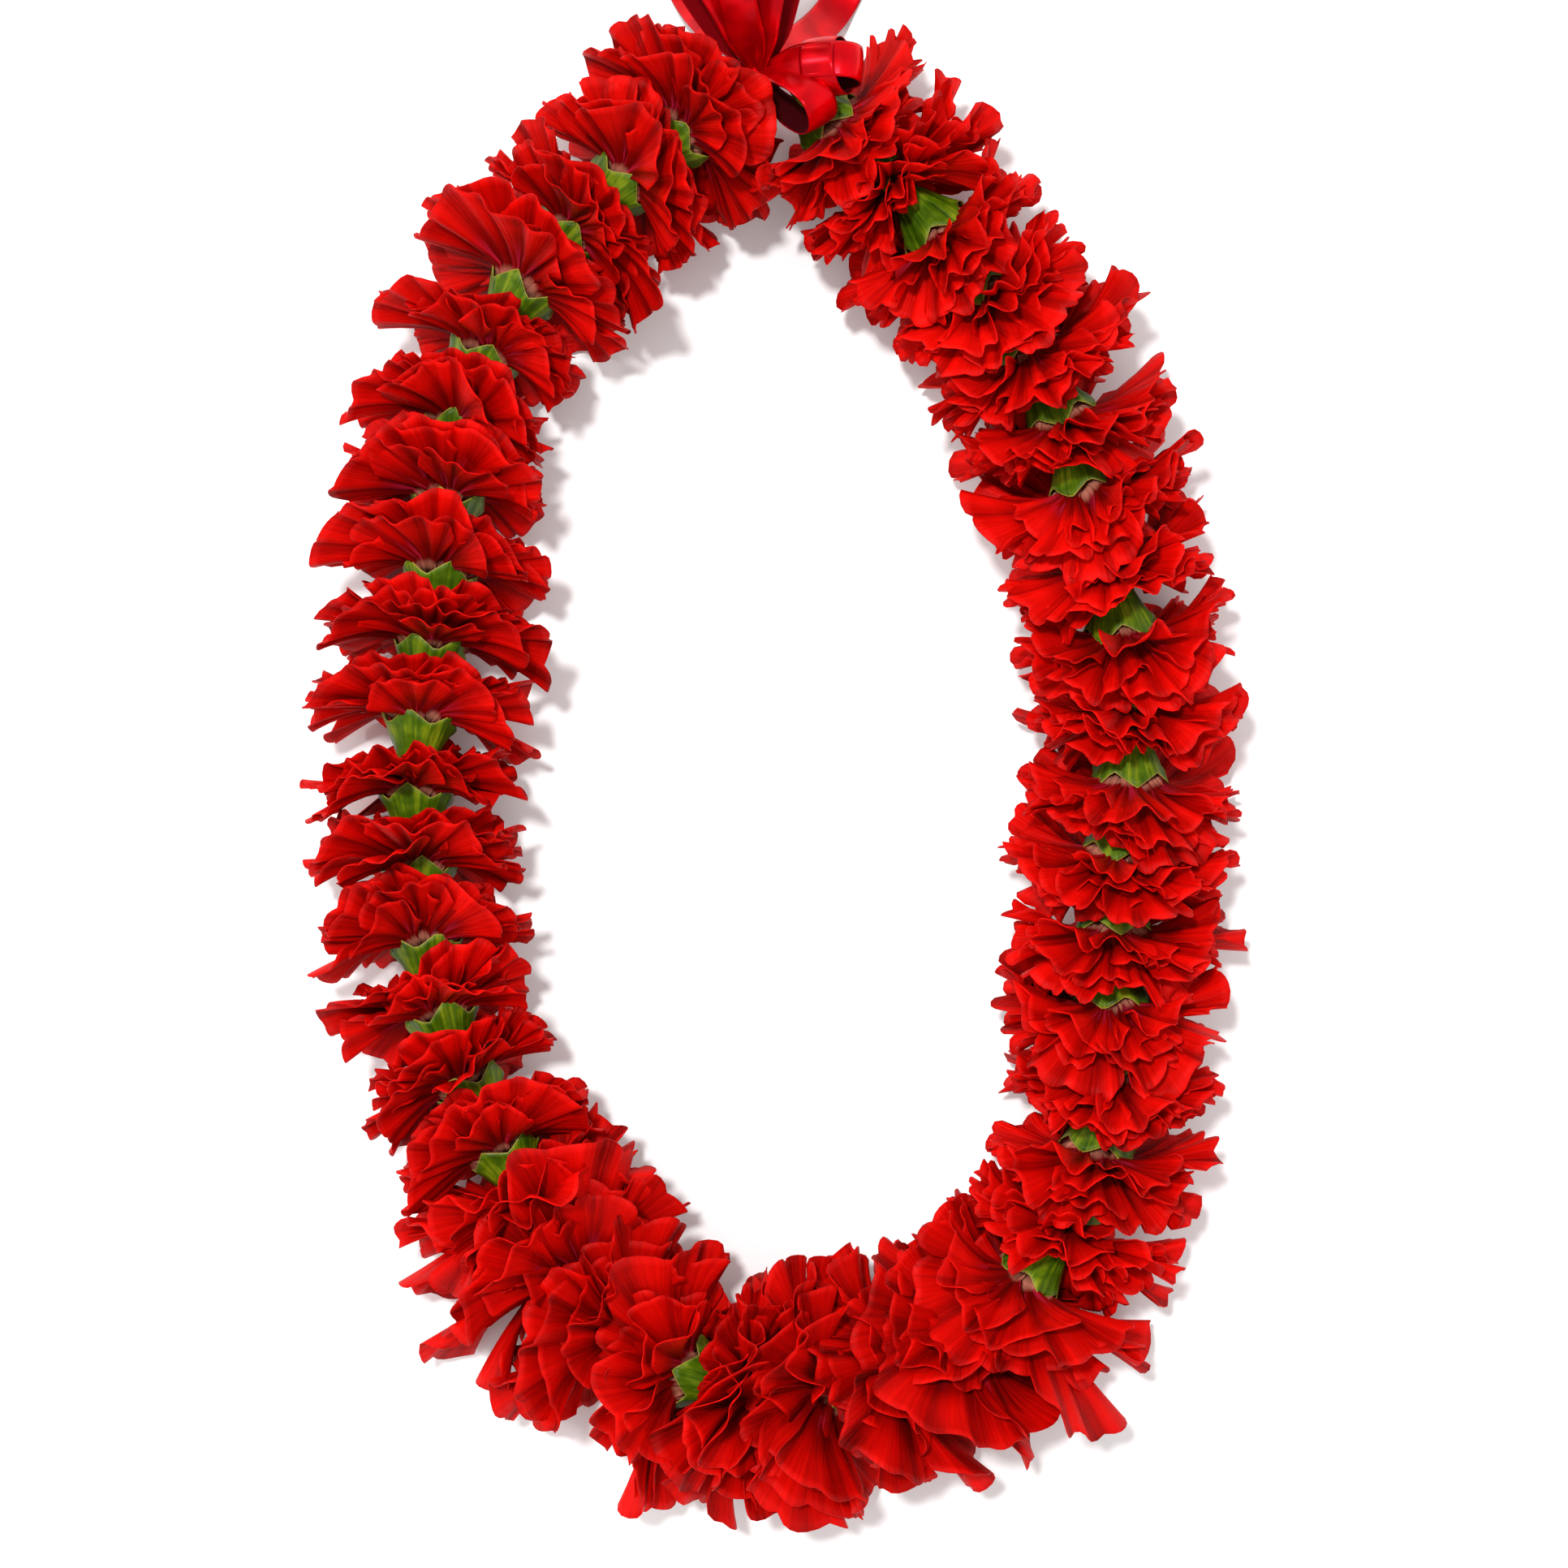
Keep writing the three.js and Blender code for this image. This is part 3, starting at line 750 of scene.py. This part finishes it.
@dataclass
class Petal:
    """One petal: a narrow claw that opens into a pleated fan with a toothed rim. Millimetres."""

    ring: PetalRing
    form: HabitForm
    angle: float
    rim_radius: float
    root_height: float
    root_radius: float
    lean: float
    lean_at: Callable[[float], float]
    tone: float
    draw: random.Random
    claw_lean: float = 66.0
    claw_share: float = 0.11
    claw_width: float = 2.3
    steps: int = 12
    slack: float = 1.04
    fold_play: Span = (0.85, 1.15)
    depth_play: Span = (0.7, 1.25)
    skew_play: Span = (-0.22, 0.30)
    reflex_play: Span = (-10, 22)
    lobe_play: Span = (0.4, 1.2)
    lobe_round: float = 0.6
    lobe_growth: int = 6
    corner_cut: Span = (0.08, 0.20)
    rim_ripple: Span = (0.035, 3.7)
    rim_flutter: Span = (0.02, 9)
    fold_heights: Span = (0.72, 0.28)
    fold_beat: float = 1.63
    fold_growth: float = 1.1
    wave_count: float = 1.4

    def __post_init__(self) -> None:
        """Draws the petal's own folds and works out its run from root to rim."""
        lean = math.radians(self.lean)
        self.length = (self.rim_radius - self.root_radius) / math.cos(lean) * self.slack
        self.phases = [self.draw.uniform(0, TURN) for _ in range(5)]
        self.fold_count = self.form.folds * self.draw.uniform(*self.fold_play)
        self.depth = self.draw.uniform(*self.depth_play)
        self.skew = self.draw.uniform(*self.skew_play)
        self.slope = math.tan(math.radians(self.lean_at(self.angle)))
        self.reflex = self.draw.uniform(*self.reflex_play)
        self.lobes = [self.draw.uniform(*self.lobe_play) for _ in range(self.form.lobes + 1)]
        radius, height = self.root_radius, self.root_height
        self.run = []
        for i in range(self.steps + 1):
            share = i / self.steps
            here = self.lean + (self.claw_lean - self.lean) * math.exp(-share / self.claw_share)
            here = math.radians(here - self.reflex * share * share)
            self.run.append((radius, height, here))
            radius += self.length / self.steps * math.cos(here)
            height += self.length / self.steps * math.sin(here)

    def along_run(self, distance: float) -> Triple:
        """Reads the run.

        Args:
            distance: From the root, in millimetres.

        Returns:
            The radius, height and lean there, the lean in radians.
        """
        place = min(max(distance / self.length, 0.0), 0.9999) * self.steps
        i = int(place)
        share = place - i
        first, second = self.run[i], self.run[i + 1]
        over = max(distance - self.length, 0.0)
        radius, height, lean = (a + (b - a) * share for a, b in zip(first, second))
        return radius + over * math.cos(lean), height + over * math.sin(lean), lean

    def cut(self, across: float) -> float:
        """Cuts the rim between its rounded lobes.

        Args:
            across: -1 to 1 from one side to the other.

        Returns:
            How deep the rim is cut there, in millimetres.
        """
        place = (across + 1) / 2 * self.form.lobes + self.phases[1] / TURN
        lobe = math.floor(place)
        round_share = math.sin(math.pi * (place - lobe)) ** self.lobe_round
        return self.form.lobe_depth * (self.lobes[min(lobe, self.form.lobes)] - round_share)

    def point(self, along: float, across: float) -> tuple[Vector, Vector]:
        """Places one point of the petal.

        Args:
            along: 0 at the root to 1 at the rim.
            across: -1 to 1 from one side to the other.

        Returns:
            The point in the bloom's coordinates, in millimetres, and the direction that the petal's
            front faces, scaled by how far its fold stands out.
        """
        form = self.form
        ripple = self.rim_ripple[0] * math.sin(self.rim_ripple[1] * across + self.phases[3])
        flutter = self.rim_flutter[0] * math.sin(self.rim_flutter[1] * across + self.phases[2])
        corner = 1 - self.corner_cut[0] * across**2 - self.corner_cut[1] * across**6
        corner += ripple + flutter
        distance = self.length * along * corner - self.cut(across) * along**self.lobe_growth
        turn = math.radians(self.ring.half_fan) * across
        sideways = distance * math.sin(turn)
        if abs(sideways) < self.claw_width * abs(across):
            sideways = math.copysign(self.claw_width * abs(across), across)
        radius, height, lean = self.along_run(distance * math.cos(turn))
        width = math.pi * across
        beat = self.fold_beat * self.fold_count * width
        fold = self.fold_heights[0] * math.sin(self.fold_count * width + self.phases[0])
        fold += self.fold_heights[1] * math.sin(beat + self.phases[1])
        lift = form.fold_depth * self.depth * along**self.fold_growth * fold
        wave = math.sin(self.wave_count * width + self.phases[4])
        lift += form.wave_depth * self.depth * along**2 * wave
        lift += self.skew * sideways
        toward = self.angle + math.atan2(sideways, radius)
        lift += radius * (math.tan(math.radians(self.lean_at(toward))) - self.slope)
        radius -= lift * math.sin(lean)
        height += lift * math.cos(lean)
        sine, cosine = math.sin(self.angle), math.cos(self.angle)
        outward, upward = radius * sine + sideways * cosine, radius * cosine - sideways * sine
        front = Vector((-math.sin(lean) * sine, -math.sin(lean) * cosine, math.cos(lean)))
        return Vector((outward, upward, height)), front * fold


@dataclass
class Calyx:
    """The green cup: an outline spun round the axis, with teeth at its rim. Millimetres."""

    place: BloomPlace
    draw: random.Random
    outline: tuple[Span, ...] = (
        (0.95, 0.15), (3.4, 0.2), (4.6, 1.0), (5.9, 3.2), (7.3, 6.2), (8.6, 9.0), (9.8, 11.4),
        (10.8, 13.2), (11.6, 14.6), (11.3, 14.7), (10.3, 13.6), (9.2, 13.0), (8.0, 12.9),
        (0.95, 12.9),
    )  # radius and height, from the bore's foot round the rim and back to the bore
    sides: int = 40
    teeth: int = 5
    tooth_play: Span = (0.7, 1.25)
    tooth_sharpness: float = 1.1
    tooth_heights: Span = (9.5, 14.6)
    tooth_radii: Span = (8.5, 9.8)
    tooth_height: float = 5.2
    notch: float = 2.4
    upper_rise: float = 1.6
    flare: float = 0.08
    tuck: float = 0.02
    ribs: int = 10
    rib_share: float = 0.025
    rib_heights: Span = (1, 8)
    rim_heights: Span = (12.5, 15)
    height: float = 15

    def build(self) -> Shape:
        """Builds the cup.

        Returns:
            The mesh, in the row frame.
        """
        shape = bmesh.new()
        verts = [shape.verts.new((radius, 0, height)) for radius, height in self.outline]
        edges = [shape.edges.new(pair) for pair in zip(verts, verts[1:])]
        bmesh.ops.spin(
            shape, geom=verts + edges, cent=(0, 0, 0), axis=(0, 0, 1), angle=TURN,
            steps=self.sides, use_merge=True,
        )
        growth = shape.verts.layers.float_vector.new("growth")
        rim = shape.verts.layers.float.new("rim")
        to_row = self.place.matrix()
        phase = self.draw.uniform(0, TURN)
        jitter = [self.draw.uniform(*self.tooth_play) for _ in range(self.teeth)]
        for vert in shape.verts:
            radius, angle = vert.co.xy.length, math.atan2(vert.co.x, vert.co.y)
            sine, cosine, up = math.sin(angle), math.cos(angle), vert.co.z
            turn = ((angle + phase) / TURN * self.teeth) % self.teeth
            tooth = 1 - abs(2 * (turn % 1) - 1)
            high = smooth_step(up, *self.tooth_heights) * smooth_step(radius, *self.tooth_radii)
            point = tooth**self.tooth_sharpness * jitter[int(turn)]
            rib = self.rib_share * math.cos(angle * self.ribs + phase)
            rib *= smooth_step(up, *self.rib_heights)
            out = 1 + high * (self.flare * point - self.tuck) + rib
            height = up + high * (self.tooth_height * point - self.notch + self.upper_rise * cosine)
            vert[growth] = Vector((sine, cosine, up / self.height + self.place.index))
            vert[rim] = smooth_step(up, *self.rim_heights)
            around = Vector((sine * radius * out, cosine * radius * out, height))
            vert.co = to_row @ (around * MM)
        bmesh.ops.recalc_face_normals(shape, faces=shape.faces)
        return shape


@dataclass
class Bloom:
    """One carnation: its petals on their claws, and its calyx.

    Radii, roots and shows are millimetres. Press, wide_below and thickness are metres.
    """

    place: BloomPlace
    dresser: Dresser
    first_seed: int = 7100
    heads_per_node: int = 3
    radius: float = 36.0
    size_play: Span = (0.96, 1.05)
    reach_play: Span = (0.85, 1.05)
    saddle_play: Span = (0.5, 1.3)
    usual_show: float = 9
    nod_per_show: float = 1.4
    nod_play: float = 1.5
    yaw_play: float = 8
    tone_play: float = 0.12
    petal_tone: float = 0.5
    petal_tone_play: float = 0.4
    angle_play: float = 0.16
    top_trim: float = 0.6
    egg: Span = (0.04, 0.03)
    stray_reach: float = 1.15
    stray_rings: int = 2
    lean_curve: float = 1.5
    reach_curve: float = 0.6
    row_curve: float = 1.35
    first_root: float = 13.9
    root_step: float = 0.5
    throat: float = 7.6
    throat_step: float = 1.1
    crowding: float = 0.6
    press: float = 0.005
    wide_below: float = -0.160
    thickness: float = 0.0003

    def __post_init__(self) -> None:
        """Draws how the bloom has opened."""
        self.draw = random.Random(self.first_seed + self.place.index)
        if self.place.foot.y < self.wide_below:
            self.habit = Habit.OPEN
        else:
            self.habit = Habit.FRILLED if self.place.foot.x > 0 else Habit.PLEATED
        self.form = FORMS[self.habit]
        self.size = self.radius * self.form.size * self.draw.uniform(*self.size_play)
        hidden = self.usual_show - CALYX_SHOWS[self.place.number]
        self.nod = self.nod_per_show * hidden + self.either_way(self.nod_play)
        self.yaw = self.either_way(self.yaw_play)
        self.tone = self.form.tone_lift + self.either_way(self.tone_play)
        self.saddle = self.form.saddle * self.draw.uniform(*self.saddle_play)
        self.turns = [self.draw.uniform(0, TURN) for _ in range(3)]

    def either_way(self, play: float) -> float:
        """Draws a number from -play to play."""
        return self.draw.uniform(-play, play)

    def lean(self, ring: PetalRing, angle: float) -> float:
        """Works out how far a ring leans forward.

        Args:
            ring: The ring of petals.
            angle: Where, round the axis from its top.

        Returns:
            The lean in degrees.
        """
        upward = math.cos(angle)
        end = ring.lean_up if upward > 0 else ring.lean_down
        lean = ring.lean_side + (end - ring.lean_side) * abs(upward) ** self.lean_curve
        lean += self.nod * upward + self.yaw * math.sin(angle)
        return lean + self.saddle * math.sin(2 * angle + self.turns[0])

    def petal(self, ring: PetalRing, depth: int, number: int, phase: float) -> Petal:
        """Draws one petal of a ring.

        Args:
            ring: The ring.
            depth: The ring's number from the outside.
            number: The petal's number in the ring.
            phase: The angle of the bloom's first petal.

        Returns:
            The petal.
        """
        step = (number + (depth % 2) / 2) * TURN / ring.petals
        angle = phase + step + self.either_way(self.angle_play)
        outward, upward = max(0.0, math.sin(angle)), max(0.0, math.cos(angle))
        room = 1 - self.crowding * self.place.bend * max(0.0, -math.sin(angle))
        reach = self.size * ring.reach * room * self.draw.uniform(*self.reach_play)
        reach *= 1 + self.form.outer * (outward - self.top_trim * upward)
        oval = self.egg[0] * math.sin(2 * angle + self.turns[1])
        reach *= 1 + oval + self.egg[1] * math.sin(3 * angle + self.turns[2])
        if self.draw.random() < self.form.strays and depth < self.stray_rings:
            reach *= self.stray_reach
        lean = self.lean(ring, angle) + self.either_way(self.form.jitter)
        root = self.throat - self.throat_step * depth
        return Petal(
            ring=ring,
            form=self.form,
            angle=angle,
            rim_radius=root + (reach - root) * math.cos(math.radians(lean)) ** self.reach_curve,
            root_height=self.first_root + self.root_step * depth,
            root_radius=root,
            lean=lean,
            lean_at=lambda at: self.lean(ring, at),
            tone=max(0.0, self.petal_tone + self.tone + self.either_way(self.petal_tone_play)),
            draw=self.draw,
        )

    def pressed(self, point: Vector) -> Vector:
        """Eases a point that would reach the surface so that it lies along it.

        Args:
            point: The point, in metres. It is changed.

        Returns:
            The same point.
        """
        if point.z < self.press:
            point.z = self.press * math.exp((point.z - self.press) / self.press)
        return point

    def petals(self) -> Shape:
        """Builds all the petals as sheets.

        Returns:
            The mesh, in the row frame.
        """
        sheets = Sheets()
        to_row = self.place.matrix()
        turn = to_row.to_3x3()
        phase = self.draw.uniform(0, TURN)
        for depth, ring in enumerate(self.form.rings):
            for number in range(ring.petals):
                petal = self.petal(ring, depth, number, phase)
                for vert, across, row in sheets.grid(ring.columns, ring.rows):
                    along = 1 - (1 - row) ** self.row_curve
                    spot, fold = petal.point(along, across)
                    spot = self.pressed(to_row @ (spot * MM))
                    sheets.place(vert, spot, (across, along, petal.tone), turn @ fold)
        return sheets.shape

    def dress(self) -> None:
        """Finishes both pieces of the bloom."""
        number, heads = self.place.number, self.heads_per_node
        first = self.place.index // heads * heads + 1
        node = f"petals_{first:02d}_{first + heads - 1:02d}"
        name = f"bloom_{number:02d}"
        self.dresser.finish(f"{name}_petals", self.petals(), "petal", node, self.thickness)
        cup = Calyx(self.place, self.draw).build()
        self.dresser.finish(f"{name}_calyx", cup, "calyx", f"calyx_{number:02d}")


# String and bow


@dataclass
class CottonString:
    """The string through the blooms, tied under the bow."""

    run: StringRun
    dresser: Dresser
    radius: float = 0.0005
    straight: float = 0.007

    def dress(self) -> None:
        """Builds and finishes the string as a round cord along the run."""
        knot, along = self.run.knot, self.run.along
        route = [knot, knot + along * self.straight, *self.run.feet, knot - along * self.straight]
        curve = bpy.data.curves.new("string_run", "CURVE")
        curve.dimensions = "3D"
        curve.bevel_depth = self.radius
        curve.bevel_resolution = 3
        spline = curve.splines.new("POLY")
        spline.points.add(len(route) - 1)
        for spot, point in zip(spline.points, route):
            spot.co = (*point, 1)
        spline.use_cyclic_u = True
        drawn = stand("string_run", curve)
        shape = bmesh.new()
        shape.from_mesh(drawn.to_mesh())
        drawn.to_mesh_clear()
        bpy.data.objects.remove(drawn)
        self.dresser.finish("cotton_string", shape, "string", "string")


@dataclass(frozen=True)
class LoopPlan:
    """One loop: turn from +X, length, opening, rise and roll. Degrees and millimetres."""

    turn: float
    length: float
    opening: float
    rise: float
    roll: float


@dataclass(frozen=True)
class TailPlan:
    """One tail of the bow: turn from +X, length and how far it bows sideways."""

    turn: float
    length: float
    bow: float


@dataclass
class RibbonBow:
    """The satin bow: loops and tails of one ribbon, gathered under a wrapped knot. Millimetres."""

    run: StringRun
    dresser: Dresser
    width: float = 11.5
    thickness: float = 0.3
    gap: float = 0.7
    start: Triple = (-1.2, 3.6, 2.1)
    stack: Triple = (0.37, -0.53, 0.47)
    gather_share: float = 0.5
    gather_span: Span = (1, 16)
    pleats: float = 2.5
    loop_pleat: float = 1.4
    tail_pleat: float = 1.2
    cup: float = 0.5
    eye: Span = (0.4, 0.58)
    eye_end: float = 0.66
    length_steps: int = 64
    tail_rest: float = 1.1
    tail_notch: float = 6.0
    tail_cut_from: float = 0.85
    tail_fall: float = 0.7
    tail_ripple: float = 0.5
    ripple_length: float = 6.0
    ripple_span: Span = (0.1, 0.5)
    loops: tuple[LoopPlan, ...] = (
        LoopPlan(124, 50, 15, 27, 18),
        LoopPlan(103, 54, 16, 38, -12),
        LoopPlan(77, 48, 14, 28, -20),
        LoopPlan(3, 34, 15, 26, -14),
        LoopPlan(-36, 29, 16, 36, -34),
    )
    sleeved: int = 3
    sleeve_along: float = 23.0
    sleeve_half: float = 8.8
    sleeve_rise: float = 7.8
    sleeve_overlap: float = 1.03
    sleeve_slant: float = 0.8
    sleeve_swell: Span = (0.04, 0.03)
    tails: tuple[TailPlan, ...] = (TailPlan(116, 66, 7), TailPlan(52, 56, -6))
    knot_radius: float = 6.0
    knot_length: float = 11.0
    knot_overlap: float = 1.04
    knot_waist: float = 0.26
    knot_crease: float = 0.35
    knot_pleats: float = 4
    knot_drift: float = 1.5
    knot_spread: float = 0.6
    # The sleeve and the knot have band numbers past the upper loops, so their inner faces get the
    # deeper painted shade.
    sleeve_band: int = 8
    knot_band: int = 9
    columns: int = 10
    rows: int = 48

    def gathered(self, distance: float) -> float:
        """Returns the share of the ribbon's width left at a distance from the knot."""
        spread = smooth_step(distance, *self.gather_span)
        return self.gather_share + (1 - self.gather_share) * spread

    def root(self, band: int) -> Vector:
        """Returns where a band of ribbon leaves the knot."""
        return self.run.knot / MM + Vector(self.start) + Vector(self.stack) * band

    def loop_place(self, plan: LoopPlan, band: int) -> Matrix:
        """Turns what is drawn along +X, opening along Y, to a loop's own place.

        Args:
            plan: The loop's measures.
            band: Its place in the stack of bands under the knot.

        Returns:
            The turn, in millimetres.
        """
        return (
            Matrix.Translation(self.root(band))
            @ Matrix.Rotation(math.radians(plan.turn), 4, "Z")
            @ Matrix.Rotation(-math.radians(plan.rise), 4, "Y")
            @ Matrix.Rotation(math.pi / 2 + math.radians(plan.roll), 4, "X")
        )

    def loop(self, plan: LoopPlan, band: int) -> tuple[Shape, float]:
        """Builds one loop.

        Args:
            plan: The loop's measures.
            band: Its place in the stack of bands under the knot.

        Returns:
            The mesh, and the length of ribbon in it in millimetres.
        """
        ribbon = Sheets()
        place = self.loop_place(plan, band)
        turn = place.to_3x3()
        (near, belly), (far, wide) = self.eye, (plan.length, plan.opening)
        eye = ((0, self.gap / 2), (near * far, belly * wide), (far, self.eye_end * wide), (far, 0))
        halves = ([Vector((x, -y)) for x, y in eye], [Vector(point) for point in reversed(eye)])
        stations = range(self.length_steps + 1)
        spots = [self.bezier(halves, i / self.length_steps)[0] for i in stations]
        length = sum((b - a).length for a, b in zip(spots, spots[1:]))
        for vert, across, along in ribbon.grid(self.columns, self.rows):
            middle, normal = self.bezier(halves, along)
            gathered = self.gathered(middle.x)
            pleat = math.sin(self.pleats * math.pi * across + band)
            crumple = (1 - gathered) * self.loop_pleat * pleat
            cup = self.cup * (1 - across * across) * gathered
            flat = middle + normal * (crumple - cup)
            spot = place @ Vector((flat.x, flat.y, across * (self.width / 2 * gathered)))
            outward = turn @ Vector((-normal.x, -normal.y, 0))
            growth = (across, along * length / self.width * 2, band)
            ribbon.place(vert, spot * MM, growth, outward)
        return ribbon.shape, length

    def sleeve(self) -> tuple[Shape, float]:
        """Builds the turn of ribbon round one of the loops.

        Returns:
            The mesh, and the length of ribbon in it in millimetres.
        """
        ribbon = Sheets()
        place = self.loop_place(self.loops[self.sleeved], self.sleeved + len(self.tails))
        turn = place.to_3x3()
        length = math.pi * (self.sleeve_half + self.sleeve_rise)
        for vert, across, along in ribbon.grid(self.columns, self.rows):
            angle = TURN * (along * self.sleeve_overlap + 0.5)
            out = Vector((0, math.cos(angle), math.sin(angle)))
            swell = 1 + self.sleeve_swell[0] * (1 - across * across) + self.sleeve_swell[1] * along
            spot = Vector((
                self.sleeve_along + across * self.width / 2 + self.sleeve_slant * math.sin(angle),
                self.sleeve_rise * swell * out.y,
                self.sleeve_half * swell * out.z,
            ))
            growth = (across, along * length / self.width * 2, self.sleeve_band)
            ribbon.place(vert, place @ spot * MM, growth, turn @ out)
        return ribbon.shape, length

    @staticmethod
    def bezier(halves: tuple[list[Vector], ...], share: float) -> tuple[Vector, Vector]:
        """Reads two joined curves.

        Args:
            halves: The four control points of each curve.
            share: Where, from 0 at the first one's start to 1 at the second one's end.

        Returns:
            The point and the normal there.
        """
        half = min(int(share * 2), 1)
        a, b, c, d = halves[half]
        t = share * 2 - half
        s = 1 - t
        point = a * s**3 + b * (3 * s * s * t) + c * (3 * s * t * t) + d * t**3
        slope = (b - a) * (3 * s * s) + (c - b) * (6 * s * t) + (d - c) * (3 * t * t)
        slope = slope.normalized() if slope.length > 1e-6 else Vector((1, 0))
        return point, Vector((-slope.y, slope.x))

    def tail(self, plan: TailPlan, band: int) -> Shape:
        """Builds one tail, which falls to the surface and ends in a swallow-tail cut.

        Args:
            plan: The tail's measures.
            band: Its place in the stack of bands under the knot.

        Returns:
            The mesh.
        """
        ribbon = Sheets()
        start = self.root(band)
        turn = math.radians(plan.turn)
        ahead = Vector((math.cos(turn), math.sin(turn), 0))
        aside = Vector((-ahead.y, ahead.x, 0))
        for vert, across, along in ribbon.grid(self.columns, self.rows // 2):
            cut = self.tail_notch * (1 - abs(across)) * smooth_step(along, self.tail_cut_from, 1)
            distance = along * plan.length - cut
            fall = smooth_step(distance, 0, self.tail_fall * plan.length)
            gathered = self.gathered(distance)
            middle = start + ahead * distance + aside * (plan.bow * math.sin(math.pi * along))
            ripple = self.tail_ripple * math.sin(distance / self.ripple_length + band)
            ripple *= smooth_step(along, *self.ripple_span)
            crumple = (1 - gathered) * self.tail_pleat * math.sin(self.pleats * math.pi * across)
            middle.z = start.z + (self.tail_rest - start.z) * fall + ripple + crumple
            spot = middle + aside * across * (self.width / 2 * gathered)
            ribbon.place(vert, spot * MM, (across, distance / self.width * 2, band), UP)
        return ribbon.shape

    def knot(self) -> Shape:
        """Builds the ribbon wrapped round the middle of the bow.

        Returns:
            The mesh.
        """
        ribbon = Sheets()
        turn = Vector((0, 1, 0)).rotation_difference(self.run.along).to_matrix()
        for vert, across, along in ribbon.grid(self.columns, self.rows):
            angle = TURN * along * self.knot_overlap
            waist = 1 - self.knot_waist * across**2
            turned = self.knot_pleats * math.pi * across + self.knot_drift * math.sin(angle)
            crease = self.knot_crease * math.sin(turned)
            radius = self.knot_radius * waist + crease + self.knot_spread * along
            out = Vector((math.cos(angle), 0, math.sin(angle)))
            around = out * radius + Vector((0, across * self.knot_length / 2, 0))
            spot = self.run.knot / MM + turn @ around
            ribbon.place(vert, spot * MM, (across, angle, self.knot_band), turn @ out)
        return ribbon.shape

    def dress(self) -> None:
        """Finishes every band of the bow as a sheet of ribbon."""
        for i, plan in enumerate(self.tails):
            self.finish(f"bow_tail_{i + 1}", self.tail(plan, i), plan.length)
        for i, plan in enumerate(self.loops):
            self.finish(f"bow_loop_{i + 1}", *self.loop(plan, i + len(self.tails)))
        self.finish("bow_sleeve", *self.sleeve())
        self.finish("bow_knot", self.knot(), TURN * self.knot_radius)

    def finish(self, name: str, shape: Shape, length: float) -> None:
        """Makes one band's piece."""
        piece = self.dresser.finish(name, shape, "ribbon", "bow", self.thickness * MM)


# Studio


@dataclass(frozen=True)
class Sun:
    """A lamp: its strength, its width in degrees and the way that it shines."""

    name: str
    energy: float
    width: float
    shining: Triple


@dataclass
class Studio:
    """White floor, soft light from the upper left and a camera looking straight down."""

    photo_middle: Span = (0.0029, -0.0266)
    photo_width: float = 0.483
    lens: float = 135.0
    sensor: float = 36.0
    focus_height: float = 0.035
    floor_size: float = 4.0
    suns: tuple[Sun, ...] = (Sun("key", 2.2, 5, (7, -10, -50)), Sun("fill", 0.7, 6, (76, -40, -52)))
    sky: float = 1.0

    def build(self, floor_material: bpy.types.Material) -> None:
        """Makes the camera, the floor and the lights.

        Args:
            floor_material: The floor's finish.
        """
        camera = stand("camera", bpy.data.cameras.new("camera"))
        camera.data.lens = self.lens
        camera.data.sensor_width = self.sensor
        distance = self.photo_width * self.lens / self.sensor
        camera.location = (*self.photo_middle, self.focus_height + distance)
        bpy.context.scene.camera = camera

        shape = bmesh.new()
        bmesh.ops.create_grid(shape, x_segments=1, y_segments=1, size=self.floor_size)
        mesh = bpy.data.meshes.new("floor")
        shape.to_mesh(mesh)
        shape.free()
        mesh.materials.append(floor_material)
        floor = stand("floor", mesh)

        for sun in self.suns:
            lamp = stand(sun.name, bpy.data.lights.new(sun.name, "SUN"))
            lamp.data.energy = sun.energy
            lamp.data.angle = math.radians(sun.width)
            lamp.rotation_mode = "QUATERNION"
            lamp.rotation_quaternion = Vector(sun.shining).to_track_quat("-Z", "Y")

        world = bpy.data.worlds.new("studio")
        world.use_nodes = True
        sky = world.node_tree.nodes["Background"]
        sky.inputs["Color"].default_value = (1, 1, 1, 1)
        sky.inputs["Strength"].default_value = self.sky
        bpy.context.scene.world = world
        bpy.context.scene.view_settings.view_transform = "Standard"


def main() -> None:
    """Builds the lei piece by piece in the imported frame."""
    logging.basicConfig(level=logging.INFO, format="%(name)s %(message)s")
    dresser = Dresser()
    run = StringRun()
    Studio().build(dresser.materials["floor"])
    for place in run.places:
        Bloom(place, dresser).dress()
    CottonString(run, dresser).dress()
    RibbonBow(run, dresser).dress()


if __name__ == "__main__":
    main()
